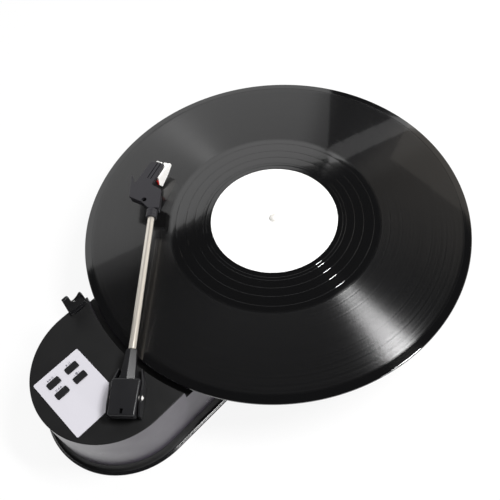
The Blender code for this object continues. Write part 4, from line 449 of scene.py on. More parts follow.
def build_finishes():
    """Every finish of the player by its short name."""
    return {
        **black_plastics(),
        **metals(),
        "vinyl": pressed_vinyl(),
        "paper": label_paper(),
        "plate": pale_plastic("lacquered_polystyrene", colour("plate"), 0.42),
        "mark": pale_plastic("screen_ink", colour("mark"), 0.6),
        "lever": pale_plastic("white_abs", colour("lever"), 0.35),
        "spot": pale_plastic("red_lacquer", colour("spot"), 0.25),
        "board": board_laminate(),
    }


FINISHES = {}


def quarter(steps, first=0):
    """Sines and cosines of a quarter turn in equal steps."""
    turns = [pi / 2 * i / steps for i in range(first, steps + 1)]
    return [(sin(turn), cos(turn)) for turn in turns]


def softened(points, radius, steps=CORNER_STEPS, closed=True):
    """The same run of points with each corner turned into a small arc."""
    result = []
    count = len(points)
    for i, corner in enumerate(points):
        here = Vector(corner)
        if not closed and i in (0, count - 1):
            result.append(tuple(here))
            continue
        back = Vector(points[i - 1]) - here
        ahead = Vector(points[(i + 1) % count]) - here
        angle = back.angle(ahead)
        longest = CORNER_REACH * min(back.length, ahead.length)
        reach = min(radius / tan(angle / 2), longest)
        if reach < radius * LEAST_REACH or radius <= 0:
            result.append(tuple(here))
            continue
        start = here + back.normalized() * reach
        end = here + ahead.normalized() * reach
        for k in range(steps + 1):
            t = k / steps
            result.append(tuple((1 - t) ** 2 * start + 2 * t * (1 - t) * here + t**2 * end))
    return result


def finished_body(bm, around):
    """The body with its faces turned outwards, put in its place."""
    bmesh.ops.recalc_face_normals(bm, faces=bm.faces)
    if around:
        bm.transform(around)
    return bm


def lathe(profile, steps=ROUND_STEPS, centre=(0, 0), around=None):
    """A body turned about z from (radius, height) points that run down its outer side."""
    bm = bmesh.new()
    rows = []
    for radius, height in profile:
        if radius < TINY:
            rows.append([bm.verts.new((centre[0], centre[1], height))])
            continue
        turns = [2 * pi * k / steps for k in range(steps)]
        x = [centre[0] + radius * cos(turn) for turn in turns]
        y = [centre[1] + radius * sin(turn) for turn in turns]
        rows.append([bm.verts.new((*point, height)) for point in zip(x, y)])
    pairs = list(zip(rows, rows[1:]))
    if len(rows[0]) > 1:
        pairs.append((rows[-1], rows[0]))
    for upper, lower in pairs:
        for k in range(steps):
            j = (k + 1) % steps
            sides = ((upper, k), (upper, j), (lower, j), (lower, k))
            corners = list(dict.fromkeys(row[i % len(row)] for row, i in sides))
            if len(corners) > 2:
                bm.faces.new(corners)
    return finished_body(bm, around)


def loft(rings, around=None):
    """A closed body through rings of equally many points, capped at both ends."""
    bm = bmesh.new()
    rows = [[bm.verts.new(point) for point in ring] for ring in rings]
    for lower, upper in zip(rows, rows[1:]):
        for i in range(len(lower)):
            j = (i + 1) % len(lower)
            bm.faces.new((lower[i], lower[j], upper[j], upper[i]))
    bm.faces.new(tuple(reversed(rows[0])))
    bm.faces.new(rows[-1])
    return finished_body(bm, around)


def shrunk(outline, distance):
    """The outline with every side moved inwards by this distance."""
    area = sum(a[0] * b[1] - b[0] * a[1] for a, b in zip(outline, outline[1:] + outline[:1]))
    turn = 1 if area > 0 else -1
    result = []
    for i, point in enumerate(outline):
        here = Vector(point)
        back = (here - Vector(outline[i - 1])).normalized()
        ahead = (Vector(outline[(i + 1) % len(outline)]) - here).normalized()
        along = (back + ahead).normalized()
        inward = Vector((-along.y, along.x)) * turn
        result.append(tuple(here + inward * distance / max(MITRE, along.dot(ahead))))
    return result


def slab(outline, bottom, top, edge=0.0, steps=3, around=None):
    """A flat outline raised between two heights, with its two rims rounded."""
    rims = [(edge * (1 - s), edge * (1 - c)) for s, c in quarter(steps)] if edge else [(0, 0)]
    levels = [(inset, bottom + rise) for inset, rise in rims]
    levels += [(inset, top - rise) for inset, rise in reversed(rims)]
    rings = []
    for inset, height in levels:
        rings.append([(x, y, height) for x, y in (shrunk(outline, inset) if inset else outline)])
    return loft(rings, around)


def corners_of(x, y):
    return [(x[0], y[0]), (x[1], y[0]), (x[1], y[1]), (x[0], y[1])]


def brick(x, y, z, edge=0.0, around=None):
    """A box between pairs of values, its rims softened."""
    outline = corners_of(x, y)
    if edge:
        outline = softened(outline, edge * CORNER_OF_EDGE, 3)
    return slab(outline, *z, edge, 2, around)


def rod(radius, bottom, top, centre=(0, 0), steps=SMALL_STEPS, around=None):
    return lathe([(0, top), (radius, top), (radius, bottom), (0, bottom)], steps, centre, around)


def rounded_box(x, y, corner, steps=CORNER_STEPS):
    return softened(corners_of(x, y), corner, steps)


def span(centre, size):
    return (centre - size / 2, centre + size / 2)


def both(reach):
    return (-reach, reach)


def stadium(radius, height, steps=END_STEPS):
    """The base's outline at this radius: half circles about the spindle and the far end."""
    points = []
    for centre, start in ((SPINDLE.x, -pi / 2), (END_X, pi / 2)):
        for i in range(steps + 1):
            angle = start + pi * i / steps
            points.append((centre + radius * cos(angle), radius * sin(angle), height))
    return points


def helper(bm, collection):
    mesh = bpy.data.meshes.new("shape")
    bm.to_mesh(mesh)
    bm.free()
    obj = bpy.data.objects.new("shape", mesh)
    collection.objects.link(obj)
    return obj


def worked(bm, joins=(), cuts=(), keeps=()):
    """The body with these joined to it and those cut from it, kept only inside the last ones."""
    shop = bpy.data.collections.new("workshop")
    bpy.context.scene.collection.children.link(shop)
    body = helper(bm, shop)
    groups = []
    for operation, others in (("UNION", joins), ("INTERSECT", keeps), ("DIFFERENCE", cuts)):
        if not others:
            continue
        group = bpy.data.collections.new(operation)
        shop.children.link(group)
        groups.append(group)
        for other in others:
            helper(other, group)
        modifier = body.modifiers.new(operation, "BOOLEAN")
        modifier.operation = operation
        modifier.operand_type = "COLLECTION"
        modifier.collection = group
        modifier.solver = "EXACT"
    graph = bpy.context.evaluated_depsgraph_get()
    result = bmesh.new()
    result.from_object(body, graph)
    for collection in (*groups, shop):
        for obj in list(collection.objects):
            bpy.data.meshes.remove(obj.data)
        bpy.data.collections.remove(collection)
    bmesh.ops.remove_doubles(result, verts=result.verts, dist=TINY)
    return result


def edged(bm, width, steps=2, sharper=40):
    """The body with its sharp outer edges eased."""
    edges = []
    for edge in bm.edges:
        sharp = edge.calc_face_angle(0) > radians(sharper)
        if len(edge.link_faces) == 2 and edge.is_convex and sharp:
            edges.append(edge)
    shape = {"offset": width, "segments": steps, "profile": 0.5, "clamp_overlap": True}
    bmesh.ops.bevel(bm, geom=edges, affect="EDGES", **shape)
    return bm


def piece(name, bm, finish, body, nodes=(), place=None, sharp=32, side=None):
    """A finished piece: its mesh, its materials, its body and the nodes it stands for."""
    mesh = bpy.data.meshes.new(name)
    bmesh.ops.recalc_face_normals(bm, faces=bm.faces)
    if side:
        for face in bm.faces:
            face.material_index = int(abs(face.normal.z) < SIDE_FACE)
    bm.to_mesh(mesh)
    bm.free()
    mesh.shade_smooth()
    mesh.set_sharp_from_angle(angle=radians(sharp))
    for name_of_finish in (finish, side) if side else (finish,):
        mesh.materials.append(FINISHES[name_of_finish])
    obj = bpy.data.objects.new(name, mesh)
    bpy.context.scene.collection.objects.link(obj)
    if place:
        obj.matrix_world = place
    normals = obj.modifiers.new("flat_faces", "WEIGHTED_NORMAL")
    normals.keep_sharp = True
    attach(obj, body)
    if nodes:
        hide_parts(*nodes)
    return obj


def dress(nodes, finish):
    """Gives carried-over CAD nodes this finish."""
    for node in nodes:
        data = frame["nodes"][node].data
        data.materials.clear()
        data.materials.append(FINISHES[finish])


# Tray. The lip's points are (inset from its edge, rise from its foot), up to the cove
LIP_POINTS = mm(
    (0.4, 0), (0.116, 0.116), (0, 0.4), (0, 0.75), (0.3, 0.84), (0.9, 1.44), (1.22, 1.46),
    (1.24, 1.78), (1.52, 2.06), (2, 2.11), (2.1, 2.1),
)
LIP_GLOSS_RISE = 3 * MM
COVE_STEPS = 12
RIB_RISE = 3 * MM
RIB_WALL = 1.6 * MM
FOOT_SEAT = 6.3 * MM
FOOT_SEAT_DEPTH = 1.1 * MM
CASE_SCREW_HOLE = 1.6 * MM
CASE_SCREW_SINK = 2.8 * MM
CASE_SCREW_SINK_DEPTH = 1.5 * MM
BATTERY_BOX_WALL = 1.4 * MM
HINGE_INSET = 0.8 * MM
HINGE_BORE = 0.7 * MM
HINGE_SOCKET_DEPTH = 1.2 * MM
GRILLE_MARGIN = 3 * MM
GRILLE_PITCH = 5 * MM
GRILLE_SLOT = 2.2 * MM
GRILLE_CORNER = 1.05 * MM
BOARD_PEG_INSET = 5 * MM
BOARD_BORE_DEPTH = 6 * MM


def base_tray():
    """Flared plinth with its glossy lip, matte cove, floor, openings and board posts."""
    rings = [stadium(LIP_RADIUS - inset, TRAY_BOTTOM + rise) for inset, rise in LIP_POINTS]
    lip_end = LIP_RADIUS - LIP_POINTS[-1][0]
    flare = lip_end - BASE_FOOT_RADIUS
    cove = TRAY_TOP - TRAY_BOTTOM - LIP_POINTS[-1][1]
    rings += [stadium(lip_end - flare * s, TRAY_TOP - cove * c) for s, c in quarter(COVE_STEPS, 1)]
    rib = BASE_FOOT_RADIUS - HOUSING_WALL - GAP
    rings += [
        stadium(rib, TRAY_TOP),
        stadium(rib, TRAY_TOP + RIB_RISE),
        stadium(rib - RIB_WALL, TRAY_TOP + RIB_RISE),
        stadium(rib - RIB_WALL, TRAY_FLOOR_TOP),
    ]
    floor = (TRAY_BOTTOM - OVERRUN, TRAY_FLOOR_TOP + OVERRUN)
    foot_seat = (floor[0], TRAY_BOTTOM + FOOT_SEAT_DEPTH)
    cuts = [rod(FOOT_SEAT, *foot_seat, middle(f"foot_{i}").xy) for i in FOUR]
    for i in FOUR:
        at = middle(f"case_screw_{i}").xy
        cuts.append(rod(CASE_SCREW_HOLE, *floor, at))
        cuts.append(rod(CASE_SCREW_SINK, floor[0], TRAY_BOTTOM + CASE_SCREW_SINK_DEPTH, at))
    a, b = low("battery_box"), high("battery_box")
    window_x = (a.x + BATTERY_BOX_WALL, b.x - BATTERY_BOX_WALL)
    window_y = (a.y + BATTERY_BOX_WALL, b.y - BATTERY_BOX_WALL)
    cuts.append(brick(window_x, window_y, floor))
    hinge = (high("battery_door").x - HINGE_INSET, 0, middle("battery_door").z)
    reach = both(window_y[1] + HINGE_SOCKET_DEPTH)
    cuts.append(rod(HINGE_BORE, *reach, around=Matrix.Translation(hinge) @ UPRIGHT))
    speaker = middle("speaker").x
    grille = (high("speaker").x - low("speaker").x) / 2 - GRILLE_MARGIN
    for i in range(-3, 4):
        across = i * GRILLE_PITCH
        half = (grille**2 - across**2) ** 0.5
        outline = rounded_box(span(speaker + across, GRILLE_SLOT), both(half), GRILLE_CORNER)
        cuts.append(slab(outline, *floor))
    seat = low("main_board").z - GAP
    screw = middle("main_board_screw").xy
    peg = Vector((high("main_board").x - BOARD_PEG_INSET, screw.y))
    joins = [rod(POST_RADIUS, foot_seat[1], seat, at) for at in (screw, peg)]
    joins.append(rod(PEG_RADIUS, seat - PEG_REACH, seat + PEG_REACH, peg))
    cuts.append(rod(POST_BORE, seat - BOARD_BORE_DEPTH, seat + OVERRUN, screw))
    tray = piece("plinth_tray", worked(loft(rings), joins, cuts), "tray", "base", ["bottom_tray"])
    tray.data.materials.append(FINISHES["lip"])
    for face in tray.data.polygons:
        x, y, z = face.center
        off_axis = Vector((x - min(max(x, END_X), SPINDLE.x), y)).length
        face.material_index = int(z < TRAY_BOTTOM + LIP_GLOSS_RISE and off_axis > lip_end)


# Housing
DECK_EDGE_STEPS = 5
WELL_FLARE = 0.5 * MM
WELL_FLARE_STEPS = 4
SOCKET_CORNER = 0.5 * MM
KNOB_WINDOW_CORNER = 0.4 * MM
KNOB_TRAVEL = 3.3 * MM
CASE_BOSS = 3.4 * MM
CASE_BORE = 1.4 * MM
CASE_BORE_DEPTH = 10 * MM
BOARD_THICKNESS = 1.6 * MM
DECK_PEG_ROOT = 1.5 * MM
DECK_BORE_DEPTH = 6.3 * MM
BEARING_BOSS = 7.1 * MM
BEARING_BOSS_LENGTH = 13 * MM
BEARING_BORE = 5 * MM
PULLEY_HOLE = 3.4 * MM
MOTOR_SCREW_HOLE = 1.5 * MM
TURRET_HOLE = 5.8 * MM
PLATE_SEAT_DEPTH = 0.7 * MM
BUTTON_HOLE_PLAY = 0.4 * MM
REST_SLOT = (8.6 * MM, 2.2 * MM)
REST_TANG_BACK = 0.7 * MM


def back_window(node, play, corner):
    """A cutter through the back wall round this node."""
    a, b = low(node), high(node)
    outline = rounded_box((a.x - play, b.x + play), (a.z - GAP, b.z + GAP), corner, 3)
    wall = (-BASE_FOOT_RADIUS - OVERRUN, HOUSING_WALL + OVERRUN - BASE_RADIUS)
    return slab(outline, *wall, around=UPRIGHT)


def back_windows():
    """Cutters for the sockets, the volume wheel and the speed knob in the back wall."""
    a, b = low("volume_wheel"), high("volume_wheel")
    play = 2 * GAP
    wheel = rod(
        (b.x - a.x) / 2 + play, a.z - play, b.z + play, middle("volume_wheel").xy, ROUND_STEPS
    )
    return [
        back_window("usb_socket", GAP, SOCKET_CORNER),
        back_window("headphone_jack", GAP, SOCKET_CORNER),
        wheel,
        back_window("speed_knob", KNOB_TRAVEL, KNOB_WINDOW_CORNER),
    ]


def base_housing():
    """Moulded housing: walls, deck with its eased edge, and the round well under the record."""
    edge = sizes().deck_round
    rings = [stadium(BASE_FOOT_RADIUS, HOUSING_BOTTOM), stadium(BASE_RADIUS, DECK - edge)]
    for s, c in quarter(DECK_EDGE_STEPS, 1):
        rings.append(stadium(BASE_RADIUS - edge * (1 - c), DECK - edge * (1 - s)))
    inner = BASE_RADIUS - HOUSING_WALL
    over = DECK + OVERRUN
    cavity = loft([
        stadium(BASE_FOOT_RADIUS - HOUSING_WALL, HOUSING_BOTTOM - OVERRUN),
        stadium(inner, WELL_UNDERSIDE),
    ])
    attic = loft([
        stadium(inner - GAP, WELL_UNDERSIDE - OVERRUN),
        stadium(inner - GAP, DECK_UNDERSIDE),
    ])
    well_wall = rod(
        WELL_RADIUS + HOUSING_WALL, WELL_UNDERSIDE - 2 * OVERRUN, over, SPINDLE, RECORD_STEPS
    )
    mouth = [(0, over), (WELL_RADIUS + WELL_FLARE, over), (WELL_RADIUS + WELL_FLARE, DECK)]
    for s, c in quarter(WELL_FLARE_STEPS, 1):
        mouth.append((WELL_RADIUS + WELL_FLARE * (1 - s), DECK - WELL_FLARE * (1 - c)))
    mouth += [(WELL_RADIUS, WELL_FLOOR), (0, WELL_FLOOR)]
    well = lathe(mouth, RECORD_STEPS, SPINDLE)
    joins, cuts = [], []
    for i in FOUR:
        at = middle(f"case_screw_{i}").xy
        roof = (DECK_UNDERSIDE if at.x < 0 else WELL_UNDERSIDE) + OVERRUN / 2
        bore = (TRAY_FLOOR_TOP - OVERRUN, TRAY_FLOOR_TOP + CASE_BORE_DEPTH)
        joins.append(rod(CASE_BOSS, TRAY_FLOOR_TOP + GAP, roof, at))
        cuts.append(rod(CASE_BORE, *bore, at))
    board_top = low("switch_board").z + BOARD_THICKNESS
    seat = board_top + GAP
    screw = middle("switch_board_screw").xy
    peg = Vector((screw.x, 2 * middle("switch_board").y - screw.y))
    joins += [rod(POST_RADIUS, seat, DECK - DECK_THICKNESS / 2, at) for at in (screw, peg)]
    joins.append(rod(PEG_RADIUS, seat - PEG_REACH, board_top + DECK_PEG_ROOT, peg))
    boss_end = WELL_UNDERSIDE - BEARING_BOSS_LENGTH
    joins.append(rod(BEARING_BOSS, boss_end, WELL_FLOOR - DECK_THICKNESS / 2, SPINDLE))
    floor = (WELL_UNDERSIDE - OVERRUN, WELL_FLOOR + OVERRUN)
    through = (DECK_UNDERSIDE - OVERRUN, over)
    rest_slot_y = span(low("arm_rest").y + REST_TANG_BACK, REST_SLOT[1])
    cuts += [
        rod(POST_BORE, board_top - OVERRUN, board_top + DECK_BORE_DEPTH, screw),
        rod(BEARING_BORE, boss_end - OVERRUN, floor[1], SPINDLE),
        rod(PULLEY_HOLE, *floor, middle("motor_pulley").xy),
        rod(MOTOR_SCREW_HOLE, *floor, middle("motor_screw_1").xy),
        rod(MOTOR_SCREW_HOLE, *floor, middle("motor_screw_2").xy),
        rod(TURRET_HOLE, *through, PIVOT, ROUND_STEPS),
        slab(plate_outline(GAP), DECK - PLATE_SEAT_DEPTH, over),
        *button_windows(BUTTON_HOLE_PLAY, through),
        brick(span(middle("arm_rest").x, REST_SLOT[0]), rest_slot_y, through),
        *back_windows(),
    ]
    shell = worked(loft(rings), cuts=[cavity, worked(attic, cuts=[well_wall]), well])
    shell = worked(shell, joins, cuts)
    # The side faces take the wall finish, whose lavender grey base colour is painted reflection
    piece("moulded_housing", shell, "deck", "base", ["upper_housing"], side="wall")


# Control plate with its buttons, each a node and the body it moves with
BUTTONS = (
    ("next_button", "next"),
    ("play_button", "play"),
    ("previous_button", "previous"),
    ("record_button", "record_key"),
)
PLATE_CUT = (13.8 * MM, 14.7 * MM)
PLATE_CORNER = 1.2 * MM
PLATE_CORNER_STEPS = 6
PLATE_EDGE = 0.15 * MM
BUTTON_SIZE = (9.6 * MM, 5.2 * MM)
BUTTON_CORNER = 1 * MM
BUTTON_EDGE = 0.3 * MM
BUTTON_EDGE_STEPS = 4
BUTTON_PLAY = 0.2 * MM
BUTTON_ROOT = 0.1 * MM
BUTTON_FLANGE = 1 * MM
BUTTON_FLANGE_THICKNESS = 1.2 * MM
BUTTON_STEM = 1.5 * MM
MARK_SIZE = 0.95 * MM
MARK_OFFSET = (-0.2 * MM, 4.1 * MM)
MARK_ROOT = 0.05 * MM
MARK_RISE = 0.03 * MM
DISC_STEPS = 24


def plate_outline(margin):
    """The plate's outline with its one cut corner, grown by a margin."""
    a, b = low("control_plate"), high("control_plate")
    x = (a.x - margin, b.x + margin)
    y = (a.y - margin, b.y + margin)
    cut = [(x[1] - PLATE_CUT[0], y[0]), (x[1], y[0] + PLATE_CUT[1])]
    points = [*cut, (x[1], y[1]), (x[0], y[1]), (x[0], y[0])]
    return softened(points, PLATE_CORNER + margin, PLATE_CORNER_STEPS)


def button_outline(at, margin):
    x, y = (span(place, size + 2 * margin) for place, size in zip(at, BUTTON_SIZE))
    return rounded_box(x, y, BUTTON_CORNER + margin)


def button_windows(margin, heights):
    return [slab(button_outline(middle(node).xy, margin), *heights) for node, _ in BUTTONS]


def arrow(left, size):
    """A triangle that points along x from this place."""
    return [(left, -size), (left + 1.6 * size, 0), (left, size)]


def bar(left, size):
    return corners_of((left, left + 0.4 * size), both(size))


def disc(radius):
    turns = [2 * pi * i / DISC_STEPS for i in range(DISC_STEPS)]
    return [(radius * cos(turn), radius * sin(turn)) for turn in turns]


def mark_shapes(index, size):
    """Plain transport marks: next, play and pause, previous, and a round one between two bars."""
    if index == 0:
        arrows = [arrow(-2.6 * size, size), arrow(-0.8 * size, size)]
        return [*arrows, bar(1.2 * size, size), bar(2 * size, size)]
    if index == 1:
        return [arrow(-2 * size, size), bar(0.4 * size, size), bar(1.4 * size, size)]
    if index == 2:
        return [[(-x, y) for x, y in reversed(outline)] for outline in mark_shapes(0, size)]
    return [disc(size), bar(-2.2 * size, size * 0.6), bar(1.8 * size, size * 0.6)]


def printed(outlines, at, face):
    """Ink on the plate's face beside a button: these outlines as one body."""
    ink = bmesh.new()
    for outline in outlines:
        placed = [(at.x + MARK_OFFSET[0] + x, at.y + MARK_OFFSET[1] + y) for x, y in outline]
        mark = slab(placed, face - MARK_ROOT, face + MARK_RISE)
        mesh = bpy.data.meshes.new("mark")
        mark.to_mesh(mesh)
        ink.from_mesh(mesh)
        mark.free()
        bpy.data.meshes.remove(mesh)
    return ink


def controls():
    """Control plate, its four buttons and the plain marks printed over them."""
    bottom, top = low("control_plate").z, high("control_plate").z
    windows = button_windows(BUTTON_PLAY, (bottom - OVERRUN, top + OVERRUN))
    plate = worked(slab(plate_outline(0), bottom, top, PLATE_EDGE), cuts=windows)
    piece("lacquered_plate", plate, "plate", "base", ["control_plate"])
    flange = DECK_UNDERSIDE - GAP
    for index, (node, body) in enumerate(BUTTONS):
        at = middle(node).xy
        heights = (flange - BUTTON_ROOT, high(node).z)
        cap = slab(button_outline(at, 0), *heights, BUTTON_EDGE, BUTTON_EDGE_STEPS)
        wide = slab(button_outline(at, BUTTON_FLANGE), flange - BUTTON_FLANGE_THICKNESS, flange)
        stem = rod(BUTTON_STEM, low(node).z, flange - BUTTON_FLANGE_THICKNESS / 2, at)
        piece(f"{body}_cap", worked(cap, [wide, stem]), "arm", body, [node])
        ink = printed(mark_shapes(index, MARK_SIZE), at, top)
        piece(f"{body}_mark", ink, "mark", "base")


# Arm rest: its outline in shares of its width and height, from the foot round the fork
REST_SHARES = (
    (0.000, 0.000), (1.000, 0.000), (0.990, 0.450), (0.985, 0.600), (0.950, 0.680),
    (0.860, 0.665), (0.750, 0.595), (0.630, 0.550), (0.510, 0.530), (0.425, 0.550),
    (0.385, 0.625), (0.385, 0.955), (0.340, 1.000), (0.090, 1.000), (0.050, 0.960),
)
REST_WIDTH = 15.6 * MM
REST_THICKNESS = 2.2 * MM
REST_CORNER = 1.2 * MM
REST_EDGE = 0.55 * MM
REST_FOOT_SHORTER = 0.8 * MM
REST_FOOT_REACH = (1.4 * MM, 0.4 * MM)
REST_FOOT_RISE = 1.2 * MM
REST_FOOT_EDGE = 0.4 * MM
REST_TANG = (8 * MM, 1.6 * MM)


def arm_rest():
    """The fork at the deck's edge with its foot and tang."""
    a, b = low("arm_rest"), high("arm_rest")
    seat = DECK + GAP
    height = b.z - seat
    front = b.y - REST_THICKNESS
    outline = softened([(REST_WIDTH * s, height * t) for s, t in REST_SHARES], REST_CORNER, 4)
    stand = Matrix.Translation((a.x, front, seat)) @ UPRIGHT
    fork = slab(outline, -REST_THICKNESS, 0, REST_EDGE, 3, stand)
    foot_x = (a.x, a.x + REST_WIDTH - REST_FOOT_SHORTER)
    foot_y = (front - REST_FOOT_REACH[0], front + REST_FOOT_REACH[1])
    foot = brick(foot_x, foot_y, (seat, seat + REST_FOOT_RISE), REST_FOOT_EDGE)
    tang_x = span(a.x + REST_WIDTH / 2, REST_TANG[0])
    tang_y = span(front - REST_TANG_BACK, REST_TANG[1])
    tang = brick(tang_x, tang_y, (a.z, seat + REST_FOOT_RISE / 2))
    piece("moulded_arm_rest", worked(fork, [foot, tang]), "lip", "base", ["arm_rest"])


# Spindle
SPINDLE_TIP = 3.5 * MM
SPINDLE_TIP_RISE = 2 * MM
SPINDLE_TIP_STEPS = 8
SPINDLE_SHAFT = 3 * MM
CLIP_GROOVE = 2.4 * MM
CLIP_GROOVE_HEIGHTS = (0.95 * MM, -0.15 * MM)


def turntable():
    """Platter drive pieces under the record, and the spindle's rounded tip."""
    a, b = low("spindle"), high("spindle")
    profile = [(0, b.z)]
    for s, c in quarter(SPINDLE_TIP_STEPS, 1):
        profile.append((SPINDLE_TIP * s, b.z - SPINDLE_TIP_RISE * (1 - c)))
    seat = low("platter_mat").z
    upper, lower = (low("spindle_clip").z + height for height in CLIP_GROOVE_HEIGHTS)
    profile += [
        (SPINDLE_TIP, seat),
        (SPINDLE_SHAFT, seat),
        (SPINDLE_SHAFT, upper),
        (CLIP_GROOVE, upper),
        (CLIP_GROOVE, lower),
        (SPINDLE_SHAFT, lower),
        (SPINDLE_SHAFT, a.z),
        (0, a.z),
    ]
    spindle = lathe(profile, PIN_STEPS, SPINDLE)
    piece("turned_spindle", spindle, "blasted", "turntable", ["spindle"])
    dress(["platter"], "arm")
    dress(["platter_mat", "drive_belt"], "rubber")
    dress(["bearing_bush", "motor_pulley", "turret_nut"], "brass")
    dress(["spindle_clip", "drive_motor", "motor_screw_1", "motor_screw_2", "motor_shaft"], "steel")


# Record: rings by radius, and profiles as (step outwards, rise)
HOLE = 3.6 * MM
RUN_OUT_RINGS = (54 * MM, 56.5 * MM, 63 * MM, 70 * MM, 78 * MM)
RUN_OUT_CUT = mm((-0.09, 0), (0, -0.045), (0.22, 0))
RUN_OUT_END = 82 * MM
RUN_OUT_SLOPE = 0.6 * MM
TRACK_GAPS = (96.5 * MM, 112 * MM, 128 * MM)
TRACK_GAP = mm((-0.6, 0), (-0.3, 0.008), (0.3, 0.008), (0.6, 0))
GROOVES_UNDER_RIM = 0.2 * MM
LAND_OVER_GROOVES = 0.03 * MM
LABEL_SEAT_DEPTH = 0.3 * MM
LABEL_SEAT_PLAY = 0.2 * MM
LABEL_SEAT_SLOPE = 0.4 * MM
BEAD_STEP = ((-1.38 * MM, 0.2 * MM), (-1.3 * MM, 0.02 * MM), (-1 * MM, 0))
RIM_ROUND = 0.8 * MM
RIM_STEPS = 16
LABEL_THICKNESS = 0.2 * MM
LABEL_EDGE = 0.08 * MM
LABEL_EDGE_RUN = 0.15 * MM
# The label's face, as (radius, depth): its eased hole and the ring that the press leaves
LABEL_FACE = mm((3.6, 0.05), (3.9, 0), (15.6, 0), (15.9, 0.08), (16.5, 0.08), (16.8, 0))


def record():
    """The record: rim bead, grooved band with track gaps, smooth run-out, and its bare label."""
    top = RECORD_TOP
    groove = top - GROOVES_UNDER_RIM
    land = groove + LAND_OVER_GROOVES
    bead = RECORD_RADIUS - sizes().rim_width
    seat = LABEL_RADIUS + LABEL_SEAT_PLAY
    profile = [(HOLE, top - LABEL_SEAT_DEPTH), (seat, top - LABEL_SEAT_DEPTH), (seat, groove)]
    profile.append((seat + LABEL_SEAT_SLOPE, land))
    for ring in RUN_OUT_RINGS:
        profile += [(ring + step, land + rise) for step, rise in RUN_OUT_CUT]
    profile += [(RUN_OUT_END, land), (RUN_OUT_END + RUN_OUT_SLOPE, groove)]
    for ring in TRACK_GAPS:
        profile += [(ring + step, groove + rise) for step, rise in TRACK_GAP]
    profile += [(bead + step, top - depth) for step, depth in BEAD_STEP]
    centre, half = (top + RECORD_BOTTOM) / 2, (top - RECORD_BOTTOM) / 2
    for i in range(RIM_STEPS + 1):
        turn = pi * i / RIM_STEPS
        outwards = RECORD_RADIUS - RIM_ROUND + RIM_ROUND * sin(turn)
        profile.append((outwards, centre + half * cos(turn)))
    profile.append((HOLE, RECORD_BOTTOM))
    disc_body = lathe(profile, RECORD_STEPS, SPINDLE)
    piece("pressed_record", disc_body, "vinyl", "turntable", ["record"], sharp=14)
    label = [(radius, top - depth) for radius, depth in LABEL_FACE]
    label += [
        (LABEL_RADIUS - LABEL_EDGE_RUN, top),
        (LABEL_RADIUS, top - LABEL_EDGE),
        (LABEL_RADIUS, top - LABEL_THICKNESS),
        (HOLE, top - LABEL_THICKNESS),
    ]
    paper = lathe(label, LABEL_STEPS, SPINDLE)
    piece("paper_label", paper, "paper", "turntable", ["record_label"], sharp=50)


# Turret, and the yoke in the arm's axes
TURRET_BORE = 3.1 * MM
TURRET_FLANGE = 8.5 * MM
TURRET_BARREL = 5.5 * MM
TURRET_EDGE = 0.2 * MM
YOKE_FLOOR = 1.4 * MM
YOKE_CREST = 2.2 * MM
YOKE_HALF = 11.5 * MM
YOKE_REAR = -12 * MM
YOKE_WAIST = 10 * MM
YOKE_FRONT = (21 * MM, 8.4 * MM)
YOKE_CHEEK = 1.3 * MM
YOKE_EDGE = 0.45 * MM
YOKE_CORNER = 1.5 * MM
YOKE_ENDS = (-14 * MM, 23 * MM)
YOKE_CREST_HALF = 5 * MM
YOKE_DROPS = (3 * MM, 4 * MM)
YOKE_FLOOR_REAR = -4.8 * MM
PIN_RADIUS = 1.5 * MM
PIN_HOLE = 1.6 * MM
PIN_SINK = 2 * MM
PIN_SINK_DEPTH = 1.1 * MM
PIN_HEAD = 1.8 * MM
PIN_HEAD_SEAT = 0.9 * MM
PIN_HEAD_STEPS = 7


def yoke_plan(inset, stretch=0.0):
    """The yoke from above, drawn in by its cheek and run on at both ends."""
    side = [
        (YOKE_REAR - stretch, YOKE_HALF - inset),
        (YOKE_WAIST, YOKE_HALF - inset),
        (YOKE_FRONT[0] + stretch, YOKE_FRONT[1] - inset),
    ]
    return [(x, -y) for x, y in side] + [(x, y) for x, y in reversed(side)]


def yoke():
    """Open fork that carries the cross pin."""
    floor = low("arm_yoke").z - PIN_HEIGHT
    floor_top = floor + YOKE_FLOOR
    past_floor = (floor - OVERRUN, floor_top + OVERRUN)
    rear, front = YOKE_ENDS
    view = [
        (rear, past_floor[0]),
        (front, past_floor[0]),
        (front, YOKE_CREST - YOKE_DROPS[1]),
        (YOKE_CREST_HALF, YOKE_CREST),
        (-YOKE_CREST_HALF, YOKE_CREST),
        (rear, YOKE_CREST - YOKE_DROPS[0]),
    ]
    across = both(YOKE_HALF + OVERRUN)
    side = slab(softened(view, YOKE_CORNER, 4), *across, around=UPRIGHT)
    sink = YOKE_HALF - PIN_SINK_DEPTH
    inside = YOKE_HALF - YOKE_CHEEK
    cuts = [
        slab(yoke_plan(YOKE_CHEEK, OVERRUN), floor_top, YOKE_CREST + OVERRUN),
        brick((rear, YOKE_FLOOR_REAR), both(inside), past_floor),
        rod(TURRET_BORE, *past_floor),
        rod(PIN_HOLE, *across, around=UPRIGHT),
        rod(PIN_SINK, sink, across[1], around=UPRIGHT),
        rod(PIN_SINK, across[0], -sink, around=UPRIGHT),
    ]
    blank = slab(yoke_plan(0), floor, YOKE_CREST)
    return edged(worked(blank, keeps=[side], cuts=cuts), YOKE_EDGE)


